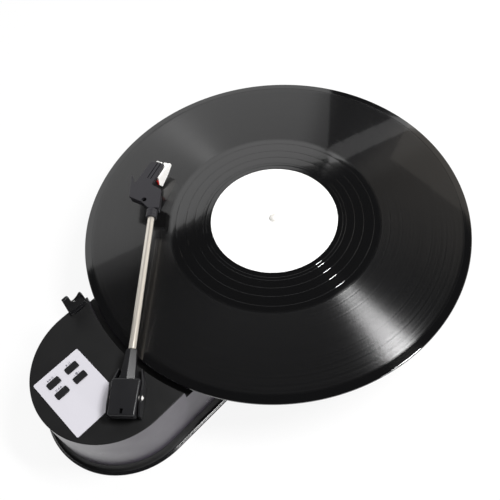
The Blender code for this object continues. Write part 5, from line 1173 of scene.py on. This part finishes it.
def arm_stand():
    """Fixed turret, and the yoke, cross pin and shaft that swing on it."""
    a, b = low("arm_turret"), high("arm_turret")
    seat = DECK + GAP
    profile = [
        (TURRET_BORE, b.z),
        (TURRET_FLANGE, b.z),
        (TURRET_FLANGE, seat),
        (TURRET_BARREL, seat),
        (TURRET_BARREL, a.z),
        (TURRET_BORE, a.z),
    ]
    turret = lathe(softened(profile, TURRET_EDGE, 3), ROUND_STEPS, PIVOT)
    piece("turned_turret", turret, "arm", "base", ["arm_turret"])
    piece("moulded_yoke", yoke(), "arm", "arm_base", ["arm_yoke"], ARM)
    seat = YOKE_HALF - PIN_HEAD_SEAT
    head_end = [(PIN_HEAD * s, seat + PIN_HEAD * c) for s, c in quarter(PIN_HEAD_STEPS)]
    other_end = [(radius, -height) for radius, height in reversed(head_end)]
    cross = [*head_end, (PIN_RADIUS, seat), (PIN_RADIUS, -seat), *other_end]
    pin = lathe(cross, SMALL_STEPS, around=UPRIGHT)
    piece("cross_pin", pin, "blasted", "arm_base", ["arm_pivot_pin"], ARM)
    dress(["arm_shaft", "arm_shaft_clip"], "steel")


# Arm, in its own axes from the cross pin
COVER_ROOF = 4.4 * MM
COVER_SKIRT = -3.7 * MM
COVER_ENDS = (-13.2 * MM, 12.3 * MM)
COVER_HALVES = (9.1 * MM, 9.8 * MM)
COVER_WALL = 1.4 * MM
COVER_CORNER = 1.9 * MM
COVER_EDGE = 1.2 * MM
COVER_SLOT = ((-10.2 * MM, 3.4 * MM), (0.2 * MM, 2 * MM))
# The neck's sections, as (place, half width, half height)
NECK = (
    (11.6 * MM, 5.4 * MM, 3.7 * MM),
    (32.9 * MM, 3.75 * MM, 3.9 * MM),
    (33.7 * MM, 3.3 * MM, 3.5 * MM),
)
NECK_SIDE_SHARE = 0.35
NECK_EDGE = 0.5 * MM
NECK_BORE = 2.7 * MM
NECK_BORE_ENDS = (25.7 * MM, 35.7 * MM)
WEIGHT_X = (-11.5 * MM, -3 * MM)
WEIGHT_HALF = 6.8 * MM
WEIGHT_HEIGHT = 4.2 * MM
WEIGHT_UNDER_ROOF = 1.7 * MM
WEIGHT_EDGE = 0.4 * MM
TUBE_ENDS = (26 * MM, 146.1 * MM)
TUBE_RADII = (2.1 * MM, 2.6 * MM)
TUBE_EDGE = 0.15 * MM
# The collar along the tube, as (radius, place): its plug, each sunk ring, and its mouth
COLLAR_PLUG = mm((0, 155.5), (1.6, 155.5), (1.6, 148.5), (4.1, 148.5), (4.4, 148.2))
COLLAR_RINGS = (146.4 * MM, 143.4 * MM)
COLLAR_RING = mm((4.4, 0), (4.2, -0.15), (4.2, -0.35), (4.4, -0.5))
COLLAR_MOUTH = mm((4.4, 141.5), (4, 141.1), (2.7, 141.1), (2.7, 146.4), (0, 146.4))
COLLAR_STEPS = 40


def cover_plan(inset):
    """The cover from above, a little narrower at its rear."""
    rear, front = COVER_ENDS[0] + inset, COVER_ENDS[1] - inset
    rear_half, front_half = (half - inset for half in COVER_HALVES)
    points = [(rear, -rear_half), (front, -front_half), (front, front_half), (rear, rear_half)]
    return softened(points, COVER_CORNER, 6)


def neck_ring(x, half_width, half_height):
    """A six-sided section with a ridge on top, its corners eased."""
    side = half_height * NECK_SIDE_SHARE
    right = [(half_width, side), (half_width, -side)]
    left = [(-half_width, -side), (-half_width, side)]
    points = [(0, half_height), *right, (0, -half_height), *left]
    return [(x, y, z) for y, z in softened(points, NECK_EDGE, 3)]


def arm():
    """Lifting cover with its ridged neck, the weight, the tube and the collar."""
    shell = slab(cover_plan(0), COVER_SKIRT, COVER_ROOF, COVER_EDGE, 5)
    hollow = slab(cover_plan(COVER_WALL), COVER_SKIRT - OVERRUN, COVER_ROOF - COVER_WALL)
    neck = loft([neck_ring(*section) for section in NECK], TUBE_IN_ARM)
    slot_z = (COVER_ROOF - COVER_WALL - OVERRUN, COVER_ROOF + OVERRUN)
    cuts = [
        rod(NECK_BORE, *NECK_BORE_ENDS, around=TUBE_IN_ARM @ ALONG_X),
        rod(PIN_HOLE, *both(YOKE_HALF + OVERRUN), around=UPRIGHT),
        brick(span(*COVER_SLOT[0]), span(*COVER_SLOT[1]), slot_z),
    ]
    cover = worked(worked(shell, cuts=[hollow]), [neck], cuts)
    piece("moulded_arm_cover", cover, "arm", "arm", ["arm_cover"], ARM)
    weight_top = COVER_ROOF - WEIGHT_UNDER_ROOF
    weight_z = (weight_top - WEIGHT_HEIGHT, weight_top)
    weight = brick(WEIGHT_X, both(WEIGHT_HALF), weight_z, WEIGHT_EDGE)
    piece("cast_weight", weight, "oxide", "arm", ["arm_weight"], ARM)
    (start, end), (bore, radius) = TUBE_ENDS, TUBE_RADII
    tube = [
        (bore, end),
        (radius - TUBE_EDGE, end),
        (radius, end - TUBE_EDGE),
        (radius, start + TUBE_EDGE),
        (radius - TUBE_EDGE, start),
        (bore, start),
    ]
    line = ARM @ TUBE_IN_ARM
    tube = lathe(tube, PIN_STEPS, around=ALONG_X)
    piece("plated_tube", tube, "tube", "arm", ["arm_tube"], line)
    rings = [(radius, at + step) for at in COLLAR_RINGS for radius, step in COLLAR_RING]
    collar = lathe([*COLLAR_PLUG, *rings, *COLLAR_MOUTH], COLLAR_STEPS, around=ALONG_X)
    piece("moulded_collar", collar, "head", "arm", ["arm_collar"], line)


# Head: outlines in shares of its length and width
HEAD_SHARES = (
    (0.000, 0.000), (0.371, 0.007), (0.496, 0.331), (0.936, 0.048), (1.000, 0.457),
    (0.523, 0.844), (0.744, 1.000), (0.237, 0.937), (0.129, 0.550), (0.000, 0.316),
)
LEFT_TIP, LEFT_NOTCH = 7, 8
BLOCK_SHARES = (
    (0.000, 0.000), (0.350, 0.000), (0.350, 0.500), (0.200, 0.660), (0.129, 0.550), (0.000, 0.316),
)
SCREW_SHARE = (0.172, 0.476)
INSIDE_SHARE = (0.4, 0.6)
HEAD_START = 149 * MM
HEAD_SIZE = (47.2 * MM, 26.9 * MM)
HEAD_RIGHT = 5.7 * MM
HEAD_OVER_RECORD = 18 * MM
HEAD_THICKNESS = 2.4 * MM
HEAD_UNDER_RECORD = HEAD_OVER_RECORD - HEAD_THICKNESS
HEAD_CORNER = 0.6 * MM
HEAD_EDGE = 0.3 * MM
HEAD_GROOVES = (-0.3 * MM, -3.1 * MM)
HEAD_GROOVE_X = (-17 * MM, OVERRUN)
HEAD_GROOVE_WIDTH = 0.9 * MM
HEAD_GROOVE_Z = (16.9 * MM, 20 * MM)
PLUG_SOCKET = 1.7 * MM
PLUG_SOCKET_ENDS = (146.5 * MM, 155.8 * MM)
SKIRT_WALL = 1.3 * MM
SKIRT_SET_IN = 0.3 * MM
SKIRT_RUN = 0.8 * MM
SKIRT_BACK_SHARE = 0.3
SKIRT_DROP = 4 * MM
SKIRT_ROOT = 0.6 * MM
SKIRT_EDGE = 0.25 * MM
BLOCK_SHARE = 1 - 0.5 / 5.7
BLOCK_HEIGHT = 5.6 * MM
BLOCK_CORNER = 0.5 * MM
BLOCK_EDGE = 0.25 * MM
SCREW_SINK = 2 * MM
SCREW_SINK_DEPTH = 2.5 * MM
SCREW_BORE = 1 * MM
SCREW_BORE_DEPTH = 8.5 * MM
SCREW_SUNK = 1.4 * MM
# The screw's side, as (radius, depth from its top)
SCREW_SIDE = mm((0, 0.1), (0.9, 0.1), (1.2, 0.3), (1.2, 0.8), (0.9, 0.8), (0.9, 6.8), (0, 6.8))
SCREW_SLOTS = ((1.5 * MM, 0.3 * MM), (0.3 * MM, 1.5 * MM))
SCREW_SLOT_DEPTH = 0.4 * MM


def head_place(share):
    return (HEAD_START + HEAD_SIZE[0] * share[0], HEAD_SIZE[1] * share[1] - HEAD_RIGHT)


def side_skirt(under):
    """The short wall that hangs from the head's left side, between its tip and its notch."""
    tip, notch = (Vector(head_place(HEAD_SHARES[i])) for i in (LEFT_TIP, LEFT_NOTCH))
    inwards = (Vector(head_place(INSIDE_SHARE)) - (tip + notch) / 2).normalized()
    along = (notch - tip).normalized() * SKIRT_RUN
    start, stop = tip + along, notch - along * SKIRT_BACK_SHARE
    outer, inner = inwards * SKIRT_SET_IN, inwards * SKIRT_WALL
    outline = [tuple(place) for place in (start + outer, stop + outer, stop + inner, start + inner)]
    return slab(outline, under - SKIRT_DROP, under + SKIRT_ROOT, SKIRT_EDGE, 2)


def head():
    """Head cover with its finger lift, and the block and the screw in it."""
    top = HEAD_OVER_RECORD - PIN_OVER_RECORD
    under = top - HEAD_THICKNESS
    cover_outline = softened([head_place(share) for share in HEAD_SHARES], HEAD_CORNER, 4)
    cover = slab(cover_outline, under, top, HEAD_EDGE, 3)
    grooves = [
        brick(HEAD_GROOVE_X, span(y, HEAD_GROOVE_WIDTH), HEAD_GROOVE_Z, around=HEAD_IN_ARM)
        for y in HEAD_GROOVES
    ]
    socket = rod(PLUG_SOCKET, *PLUG_SOCKET_ENDS, around=TUBE_IN_ARM @ ALONG_X)
    at = head_place(SCREW_SHARE)
    sink = rod(SCREW_SINK, top - SCREW_SINK_DEPTH, top + OVERRUN, at)
    bore = rod(SCREW_BORE, top - SCREW_BORE_DEPTH, top + OVERRUN, at)
    cover = worked(cover, [side_skirt(under)], [*grooves, socket.copy(), sink, bore.copy()])
    piece("moulded_head_cover", cover, "head", "arm", ["head_cover"], ARM)
    outline = [Vector(head_place(share)) for share in BLOCK_SHARES]
    centre = sum(outline, Vector((0, 0))) / len(outline)
    outline = [tuple(centre + (corner - centre) * BLOCK_SHARE) for corner in outline]
    block_z = (under - GAP - BLOCK_HEIGHT, under - GAP)
    block = slab(softened(outline, BLOCK_CORNER, 3), *block_z, BLOCK_EDGE, 3)
    block = worked(block, cuts=[socket, bore])
    piece("moulded_head_block", block, "head", "arm", ["head_block"], ARM)
    screw_top = top - SCREW_SUNK
    screw = lathe([(r, screw_top - depth) for r, depth in SCREW_SIDE], SMALL_STEPS, at)
    slot_z = (screw_top - SCREW_SLOT_DEPTH, screw_top + OVERRUN)
    slots = [brick(span(at[0], x), span(at[1], y), slot_z) for x, y in SCREW_SLOTS]
    screw = worked(screw, cuts=slots)
    piece("head_fixing_screw", screw, "oxide", "arm", ["head_screw"], ARM)


# Cartridge and lever, from the cartridge's front on the record's face; views are from the side
CARTRIDGE_TOP = HEAD_UNDER_RECORD - GAP
CARTRIDGE_UNDERSIDE = mm((-21, 4.9), (-11, 4.9), (-0.6, 9.2))
CARTRIDGE_CORNER = 0.5 * MM
CARTRIDGE_HALF = 5.3 * MM
CARTRIDGE_EDGE = 0.3 * MM
LEVER_SLOPE = radians(22.6)
LEVER_FOOT = (-9.7 * MM, 0, 1.2 * MM)
LEVER_PLAN = mm((0, -5.4), (19.2, -5.4), (19.2, -0.6), (0, -1.8))
LEVER_CORNER = 1.4 * MM
LEVER_THICKNESS = 3.4 * MM
LEVER_EDGE = 0.5 * MM
CHEEK_VIEW = mm(
    (-10.2, 1.6), (-13.2, 7.5), (-11.6, 14.4), (0.6, 14.6), (7, 12.2), (8.2, 8.9), (0.5, 4.9)
)
CHEEK_CORNER = 1 * MM
CHEEK_Z = (5.5 * MM, 7 * MM)
CHEEK_EDGE = 0.4 * MM
WEB_VIEW = mm((0.6, 6), (0.6, 14.9), (6.4, 12), (7.4, 9.2))
WEB_Z = (4.6 * MM, 5.9 * MM)
WEB_EDGE = 0.2 * MM
# A thin white tab at the cartridge's front, reaching up to the head's top: its white is a painted
# highlight of the window on that edge
PAINTED_HIGHLIGHT_TAB = mm((0.75, 1.5), (-3.8, 1.6), (8.4, 17.9))
PAINTED_HIGHLIGHT_TAB_EDGE = 0.15 * MM
RED_HEEL = mm((-14.1, -12.3), (-6.9, -5.6), (7.6, 12.4))
RED_HEEL_EDGE = 0.3 * MM


def cartridge():
    """Cartridge body, and the pale stylus lever with its cheek, web, a white front tab that stands
    as a painted highlight, and red heel.
    """
    place = ARM @ HEAD_IN_ARM
    rear, front = CARTRIDGE_UNDERSIDE[0][0], CARTRIDGE_UNDERSIDE[-1][0]
    view = [(rear, CARTRIDGE_TOP), *CARTRIDGE_UNDERSIDE, (front, CARTRIDGE_TOP)]
    view = softened(view, CARTRIDGE_CORNER, 3)
    body = slab(view, *both(CARTRIDGE_HALF), CARTRIDGE_EDGE, 3, UPRIGHT)
    piece("moulded_cartridge", body, "arm", "arm", ["cartridge"], place)
    lie = Matrix.Translation(LEVER_FOOT) @ Matrix.Rotation(-LEVER_SLOPE, 4, "Y")
    lever = slab(softened(LEVER_PLAN, LEVER_CORNER, 6), 0, LEVER_THICKNESS, LEVER_EDGE, 4, lie)
    cheek = slab(softened(CHEEK_VIEW, CHEEK_CORNER, 4), *CHEEK_Z, CHEEK_EDGE, 3, UPRIGHT)
    web = slab(WEB_VIEW, *WEB_Z, WEB_EDGE, 2, UPRIGHT)
    lever = worked(lever, [cheek, web, brick(*PAINTED_HIGHLIGHT_TAB, PAINTED_HIGHLIGHT_TAB_EDGE)])
    piece("moulded_stylus_lever", lever, "lever", "arm", ["stylus_lever"], place)
    heel = brick(*RED_HEEL, RED_HEEL_EDGE)
    piece("red_stylus_heel", heel, "spot", "arm", place=place)
    dress(["stylus"], "steel")


# Feet, as (radius, height) below their tops, and the volume wheel
FOOT_SIDE = mm((6, 0.9), (5.2, 0), (3.6, 0), (3.2, 0.2), (0, 0.2))
FOOT_RADIUS = 6 * MM
FOOT_EDGE = 0.25 * MM
WHEEL_RIB_DEPTH = 0.35 * MM
WHEEL_EDGE = 0.2 * MM
WHEEL_BORE = 2.1 * MM


def volume_wheel():
    """The thumb wheel with its ribs, each a quarter-turned square tooth."""
    a, b = low("volume_wheel"), high("volume_wheel")
    at = middle("volume_wheel").xy
    count = 4 * sizes().wheel_ribs
    points = []
    for i in range(count):
        radius = (b.x - a.x) / 2 - (WHEEL_RIB_DEPTH if i % 4 > 1 else 0)
        turn = 2 * pi * i / count
        points.append((at.x + radius * cos(turn), at.y + radius * sin(turn)))
    bore = rod(WHEEL_BORE, a.z - OVERRUN, b.z + OVERRUN, at)
    wheel = worked(slab(points, a.z, b.z, WHEEL_EDGE, 2), cuts=[bore])
    piece("ribbed_volume_wheel", wheel, "arm", "volume", ["volume_wheel"])


def inside_and_back():
    """Finishes of the pieces inside the base and at its back and underside."""
    dress(["switch_board", "main_board"], "board")
    dress(["switch_board_screw", "main_board_screw", "battery_springs"], "steel")
    dress(["battery_contacts", *(f"case_screw_{i}" for i in FOUR)], "steel")
    dress(["speaker", "volume_control", "speed_switch", "usb_socket"], "zinc")
    dress(["battery_box", "battery_door", "headphone_jack", "speed_knob"], "arm")
    for i in FOUR:
        node = f"foot_{i}"
        top = high(node).z
        profile = softened([(0, top), (FOOT_RADIUS, top), *FOOT_SIDE], FOOT_EDGE, 3, False)
        foot = lathe(profile, PIN_STEPS, middle(node).xy)
        piece(f"rubber_{node}", foot, "rubber", "base", [node])
    volume_wheel()


# Light: a narrow key from the front right, a two-pane window behind, a warm wall, a low card
# that the lip mirrors, and a dim room. Places are (azimuth, elevation, distance) from the
# record's middle in degrees and metres; sizes are metres, and each "across" is an azimuth.
LAMP_WATTS = pi
KEY_PLACE = (-55.0, 59.5, 0.9)
KEY_ACROSS = -8.0
KEY_SIZE = (0.10, 0.40)
KEY_RADIANCE = 64.0
WALL_PLACE = (-6.0, 28.0, 1.8)
WALL_ACROSS = 84.0
WALL_SIZE = (1.6, 1.6)
WALL_RADIANCE = 0.42
WALL_TINT = (1.0, 0.93, 0.84)
CARD_PLACE = (-88.7, 15.7, 1.53)
CARD_ACROSS = 20.0
CARD_SIZE = (0.22, 0.22)
CARD_RADIANCE = 18.0
WINDOW_AZIMUTH = 72.0
WINDOW_DISTANCE = 1.5
# Each pane's sides and heights in shares of its distance, and its radiance
WINDOW_PANES = (
    ("window_pane", (-0.50, 0.649), (0.30, 1.377), 0.68),
    ("window_edge", (0.649, 1.20), (1.324, 1.41), 1.0),
)
ROOM_LEVEL = 0.52
CEILING_LEVEL = 0.03
PAPER_HALF = 6.0
PAPER_GLOW = 0.88
MIRRORED_GLOW = 0.6
WHITE = (1, 1, 1, 1)

# Camera, from the spindle's top in the photo's own axes
CAMERA_TURN = radians(-38.5)
CAMERA_FROM_SPINDLE = (-22.2188 * MM, -286.138 * MM, 399.3995 * MM)
CAMERA_TILT = 0.994589
CAMERA_ROLL = -0.1422724
CAMERA_LENS = 44.805
CAMERA_SENSOR = 36
RECORD_MIDDLE = Vector((*SPINDLE, RECORD_TOP))


def lamp(name, size, radiance, place, facing, across):
    """A rectangular soft lamp that shines evenly along facing, with its width along across."""
    data = bpy.data.lights.new(name, "AREA")
    data.shape = "RECTANGLE"
    data.size, data.size_y = size
    data.energy = radiance * LAMP_WATTS * size[0] * size[1]
    z = -Vector(facing).normalized()
    x = (Vector(across) - z * z.dot(Vector(across))).normalized()
    axes = Matrix((x, z.cross(x), z)).transposed().to_4x4()
    obj = bpy.data.objects.new(name, data)
    obj.matrix_world = Matrix.Translation(place) @ axes
    bpy.context.scene.collection.objects.link(obj)
    return obj


def level(azimuth):
    """A level direction at this azimuth in degrees."""
    return Vector((cos(radians(azimuth)), sin(radians(azimuth)), 0))


def lamp_on_record(name, place, across, size, radiance):
    """A lamp aimed at the record's middle."""
    azimuth, elevation, distance = place
    rise = radians(elevation)
    away = distance * (level(azimuth) * cos(rise) + Vector((0, 0, sin(rise))))
    return lamp(name, size, radiance, RECORD_MIDDLE + away, -away, level(across))


def window(eye):
    """Two panes of a window, placed where the record's face mirrors them to the eye."""
    mirrored = Vector((eye.x, eye.y, 2 * RECORD_TOP - eye.z))
    facing = level(WINDOW_AZIMUTH)
    across = level(WINDOW_AZIMUTH - 90)
    for name, sides, heights, radiance in WINDOW_PANES:
        left, right = (WINDOW_DISTANCE * share for share in sides)
        sill, top = (WINDOW_DISTANCE * share for share in heights)
        place = mirrored + WINDOW_DISTANCE * facing + (left + right) / 2 * across
        place.z += (sill + top) / 2
        lamp(name, (right - left, top - sill), radiance, place, -facing, across)


def sweep_paper():
    """White paper: it looks white to the eye and in reflections, and keeps soft shadows."""
    bm = bmesh.new()
    corners = corners_of(both(PAPER_HALF), both(PAPER_HALF))
    bm.faces.new([bm.verts.new((x, y, 0)) for x, y in corners])
    mesh = bpy.data.meshes.new("floor")
    bm.to_mesh(mesh)
    bm.free()
    floor = bpy.data.objects.new("floor", mesh)
    bpy.context.scene.collection.objects.link(floor)
    material, tree, shader = new_finish("white_sweep_paper", colour("floor"), 0.9)
    fibres = spots(tree, object_place(tree), 2 * MM, 3.0)
    relief(tree, shader, fibres, 0.02 * MM, 0.2)
    path = add(tree, "ShaderNodeLightPath").outputs
    settings = {"operation": "MULTIPLY", 1: PAPER_GLOW}
    share = add(tree, "ShaderNodeMath", settings, {0: path["Is Camera Ray"]})
    settings = {"operation": "MULTIPLY_ADD", 1: MIRRORED_GLOW}
    for kind in ("Is Glossy Ray", "Is Transmission Ray"):
        links = {0: path[kind], 2: share.outputs["Value"]}
        share = add(tree, "ShaderNodeMath", settings, links)
    glow = add(tree, "ShaderNodeEmission", {"Color": WHITE, "Strength": 1.0})
    links = {0: share.outputs["Value"], 1: shader.outputs["BSDF"], 2: glow.outputs["Emission"]}
    mix = add(tree, "ShaderNodeMixShader", links=links)
    tree.links.new(mix.outputs["Shader"], tree.nodes["Material Output"].inputs["Surface"])
    mesh.materials.append(material)


def room():
    """A dim room for the player's gloss, and a white backdrop for the eye."""
    world = bpy.context.scene.world or bpy.data.worlds.new("studio")
    bpy.context.scene.world = world
    world.use_nodes = True
    tree = world.node_tree
    tree.nodes.clear()
    path = add(tree, "ShaderNodeLightPath").outputs
    fill, ceiling, white = [
        add(tree, "ShaderNodeBackground", {"Color": WHITE, "Strength": strength}).outputs[0]
        for strength in (ROOM_LEVEL, CEILING_LEVEL, 1.0)
    ]
    links = {0: path["Is Glossy Ray"], 1: fill, 2: ceiling}
    mirrored = add(tree, "ShaderNodeMixShader", links=links).outputs["Shader"]
    links = {0: path["Is Camera Ray"], 1: mirrored, 2: white}
    mix = add(tree, "ShaderNodeMixShader", links=links).outputs["Shader"]
    add(tree, "ShaderNodeOutputWorld", links={"Surface": mix})


def camera():
    """The camera at the photo's place and tilt, and where it stands."""
    data = bpy.data.cameras.new("camera")
    data.lens = CAMERA_LENS
    data.sensor_width = CAMERA_SENSOR
    obj = bpy.data.objects.new("camera", data)
    right = Vector((1, 0, 0))
    up = Vector((0, sin(CAMERA_TILT), cos(CAMERA_TILT)))
    across = cos(CAMERA_ROLL) * right + sin(CAMERA_ROLL) * up
    upward = -sin(CAMERA_ROLL) * right + cos(CAMERA_ROLL) * up
    axes = Matrix((across, upward, across.cross(upward))).transposed().to_4x4()
    seat = Matrix.Translation(RECORD_MIDDLE) @ Matrix.Rotation(CAMERA_TURN, 4, "Z")
    obj.matrix_world = seat @ Matrix.Translation(CAMERA_FROM_SPINDLE) @ axes
    bpy.context.scene.collection.objects.link(obj)
    bpy.context.scene.camera = obj
    return seat @ Vector(CAMERA_FROM_SPINDLE)


def stage():
    """Floor, room, camera and lamps."""
    sweep_paper()
    room()
    window(camera())
    lamp_on_record("key", KEY_PLACE, KEY_ACROSS, KEY_SIZE, KEY_RADIANCE)
    wall = lamp_on_record("warm_wall", WALL_PLACE, WALL_ACROSS, WALL_SIZE, WALL_RADIANCE)
    wall.data.color = WALL_TINT
    lamp_on_record("low_card", CARD_PLACE, CARD_ACROSS, CARD_SIZE, CARD_RADIANCE)
    bpy.context.scene.view_settings.view_transform = "Standard"


def finishes():
    FINISHES.update(build_finishes())


class Maker:
    """Runs an operator's own makers in their order."""

    makers = ()

    def execute(self, context):
        for maker in self.makers:
            maker()
        return {"FINISHED"}


class PLAYER_OT_stage(Maker, bpy.types.Operator):
    """Set the floor, the lamps and the camera."""

    bl_idname = "player.stage"
    bl_label = "Stage"
    makers = (stage,)


class PLAYER_OT_finishes(Maker, bpy.types.Operator):
    """Make every material of the player."""

    bl_idname = "player.finishes"
    bl_label = "Finishes"
    makers = (finishes,)


class PLAYER_OT_base(Maker, bpy.types.Operator):
    """Build the plinth tray and the moulded housing."""

    bl_idname = "player.base"
    bl_label = "Base"
    makers = (base_tray, base_housing)


class PLAYER_OT_controls(Maker, bpy.types.Operator):
    """Build the control plate with its buttons and plain marks."""

    bl_idname = "player.controls"
    bl_label = "Controls"
    makers = (controls,)


class PLAYER_OT_arm_rest(Maker, bpy.types.Operator):
    """Build the fork that takes the parked arm."""

    bl_idname = "player.arm_rest"
    bl_label = "Arm rest"
    makers = (arm_rest,)


class PLAYER_OT_turntable(Maker, bpy.types.Operator):
    """Build the spindle and finish the platter and its drive."""

    bl_idname = "player.turntable"
    bl_label = "Turntable"
    makers = (turntable,)


class PLAYER_OT_record(Maker, bpy.types.Operator):
    """Build the record and its label."""

    bl_idname = "player.record"
    bl_label = "Record"
    makers = (record,)


class PLAYER_OT_arm(Maker, bpy.types.Operator):
    """Build the turret, the yoke, the arm cover, the tube and the collar."""

    bl_idname = "player.arm"
    bl_label = "Arm"
    makers = (arm_stand, arm)


class PLAYER_OT_head(Maker, bpy.types.Operator):
    """Build the head, the cartridge and the stylus lever."""

    bl_idname = "player.head"
    bl_label = "Head"
    makers = (head, cartridge)


class PLAYER_OT_inside(Maker, bpy.types.Operator):
    """Finish the boards, sockets, feet, wheel and battery pieces."""

    bl_idname = "player.inside"
    bl_label = "Inside and underside"
    makers = (inside_and_back,)


OPERATORS = (
    PLAYER_OT_stage,
    PLAYER_OT_finishes,
    PLAYER_OT_base,
    PLAYER_OT_controls,
    PLAYER_OT_arm_rest,
    PLAYER_OT_turntable,
    PLAYER_OT_record,
    PLAYER_OT_arm,
    PLAYER_OT_head,
    PLAYER_OT_inside,
)


class PLAYER_PT_panel(bpy.types.Panel):
    """The player's pieces in the order they are built."""

    bl_idname = "PLAYER_PT_panel"
    bl_label = "Record Player"
    bl_space_type = "VIEW_3D"
    bl_region_type = "UI"
    bl_category = "Record Player"

    def draw(self, context):
        for operator in OPERATORS:
            self.layout.operator(operator.bl_idname)


CLASSES = (PlayerColours, PlayerSizes, *OPERATORS, PLAYER_PT_panel)


def register():
    for cls in CLASSES:
        bpy.utils.register_class(cls)
    bpy.types.Scene.player_colours = PointerProperty(type=PlayerColours)
    bpy.types.Scene.player_sizes = PointerProperty(type=PlayerSizes)


def unregister():
    del bpy.types.Scene.player_sizes
    del bpy.types.Scene.player_colours
    for cls in reversed(CLASSES):
        bpy.utils.unregister_class(cls)


def main():
    register()
    for operator in OPERATORS:
        group, name = operator.bl_idname.split(".")
        getattr(getattr(bpy.ops, group), name)()


if __name__ == "__main__":
    main()
